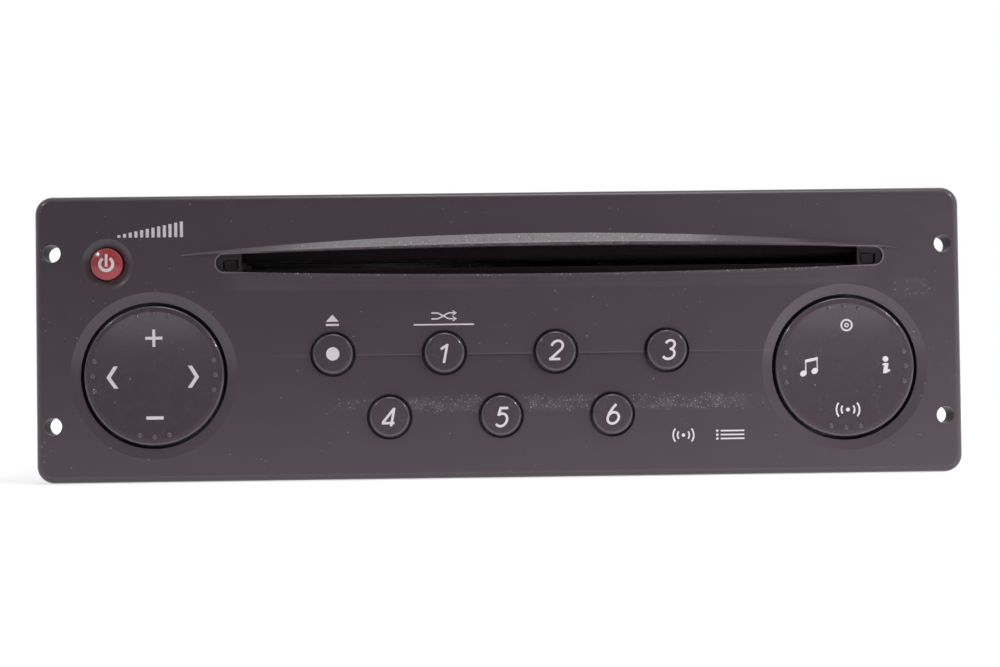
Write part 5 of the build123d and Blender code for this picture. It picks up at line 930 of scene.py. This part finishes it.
class RADIO_OT_pad_marks(Printing, bpy.types.Operator):
    """Prints the signs on the two rocker pads"""

    bl_idname = "radio.pad_marks"
    bl_label = "Pad marks"

    def execute(self, context):
        self.ready(context)
        self.left()
        self.right()
        return {"FINISHED"}

    def left(self):
        signs = {
            "pad_plus": [band([(-1.74, 7.6), (1.74, 7.6)], 0.6), band([(0, 5.86), (0, 9.34)], 0.6)],
            "pad_minus": [band([(-1.65, -8.55), (1.85, -8.55)], 0.65)],
            "pad_back": [band([(-7.75, 1.95), (-9.2, -0.3), (-7.65, -2.5)], 0.86, facing=-90)],
            "pad_forward": [band([(7.25, 1.95), (8.65, -0.3), (7.2, -2.5)], 0.86, facing=-90)],
        }
        for name, parts in signs.items():
            self.put(parts, LEFT_PAD, "left_pad", "left_rocker", name)

    def right(self):
        signs = {
            "pad_waves": waves(0.5, -8.7, 0.8, (1.35, 2.35), 36, 0.34),
            "pad_notes": [
                disc(-8.48, -1.25, 1.45, 1.12, 35), disc(-6.15, -0.75, 1.45, 1.12, 35),
                band([(-7.98, -1.05), (-7.98, 1.2)], 0.22), band([(-5.62, -0.55), (-5.62, 1.8)], 0.22),
                band([(-8.09, 1.22), (-5.51, 1.8)], 0.62, facing=0),
            ],
            "pad_letter_i": [
                disc(8.35, 1.52, 1.16), band([(8.52, 0.66), (8.2, -1.38)], 0.86, facing=-90),
                band([(7.72, 0.33), (8.3, 0.56)], 0.34), band([(8.35, -1.12), (9.2, -0.72)], 0.42),
            ],
            "pad_disc": [ring(0.5, 8.5, 2.5, 0.34), ring(0.5, 8.5, 0.95, 0.26)],
        }
        for name, parts in signs.items():
            self.put(parts, RIGHT_PAD, "right_pad", "right_rocker", name)


class RADIO_OT_panel_marks(Printing, bpy.types.Operator):
    """Prints plain signs on the panel beside the keys, and a row of level bars at the upper left"""

    bl_idname = "radio.panel_marks"
    bl_label = "Panel marks"

    def execute(self, context):
        self.ready(context)
        signs = {
            "eject_sign": self.eject(-34.0, 3.3),
            "shuffle_sign": self.shuffle(-11.4, 3.95),
            "shuffle_line": [band([(-17.5, 2.2), (-5.3, 2.2)], 0.27)],
            "waves_sign": waves(37.0, -20.9, 0.7, (1.2, 2.1), 38, 0.32),
            "list_sign": self.lines(46.5, -20.9),
            "level_bars": self.bars(-77.0, 20.6),
        }
        for name, parts in signs.items():
            self.put(parts, (0.0, 0.0), "faceplate", "root", name)
        return {"FINISHED"}

    def eject(self, x, z):
        """A triangle over a bar."""
        tip, widening = 0.04, 65
        triangle = band([(x, z + 1.15), (x, z - 0.25)], tip, facing=-90)
        pick(triangle, (4, 5))
        bpy.ops.transform.resize(value=(widening, 1, 1), center_override=(x * MM, 0, 0))
        bpy.ops.object.mode_set(mode="OBJECT")
        return [triangle, band([(x - 1.3, z - 0.92), (x + 1.3, z - 0.92)], 0.42)]

    def shuffle(self, x, z):
        """Two lines that cross, each ending in an arrowhead."""
        parts = []
        for way in (1, -1):
            bend = [(-2.5, -0.6), (-1.3, -0.6), (-0.85, -0.43), (0.65, 0.43), (1.1, 0.6), (2.2, 0.6)]
            parts.append(band([(x + px, z + way * py) for px, py in bend], 0.26))
            head = [(1.85, 0.46), (2.5, 0.0), (1.85, -0.46)]
            parts.append(band([(x + px, z + way * 0.6 + py) for px, py in head], 0.32, facing=-90))
        return parts

    def lines(self, x, z):
        """Three lines of a list, each behind a spot."""
        parts = []
        for row in (-0.8, 0.0, 0.8):
            parts += [disc(x - 2.6, z + row, 0.5), band([(x - 1.9, z + row), (x + 2.9, z + row)], 0.3)]
        return parts

    def bars(self, x, z):
        """A row of upright bars that rise to the right."""
        return [
            band([(x + 1.15 * k, z), (x + 1.15 * k, z + 0.5 + 0.24 * k)], 0.62) for k in range(12)
        ]


class RADIO_PT_panel(bpy.types.Panel):
    """Lists the radio's settings and its build steps"""

    bl_idname = "RADIO_PT_panel"
    bl_label = "Car radio"
    bl_space_type = "VIEW_3D"
    bl_region_type = "UI"
    bl_category = "Car radio"

    def draw(self, context):
        for title, group in GROUPS.items():
            box = self.layout.box()
            box.label(text=title.replace("radio_", "").capitalize())
            for name in group.__annotations__:
                box.prop(getattr(context.scene, title), name)
        for step in STEPS:
            self.layout.operator(step.bl_idname)


GROUPS = {"radio_finishes": RadioFinishes, "radio_marks": RadioMarks, "radio_studio": RadioStudio}
STEPS = (
    RADIO_OT_stage, RADIO_OT_front, RADIO_OT_brow, RADIO_OT_inside, RADIO_OT_case,
    RADIO_OT_digits, RADIO_OT_key_marks, RADIO_OT_pad_marks, RADIO_OT_panel_marks,
)
CLASSES = (*GROUPS.values(), *STEPS, RADIO_PT_panel)


def register():
    for made in CLASSES:
        bpy.utils.register_class(made)
    for name, group in GROUPS.items():
        setattr(bpy.types.Scene, name, bpy.props.PointerProperty(type=group))


def unregister():
    for name in GROUPS:
        delattr(bpy.types.Scene, name)
    for made in reversed(CLASSES):
        bpy.utils.unregister_class(made)


def main():
    register()
    for step in STEPS:
        getattr(bpy.ops.radio, step.bl_idname.split(".")[1])()


if __name__ == "__main__":
    main()
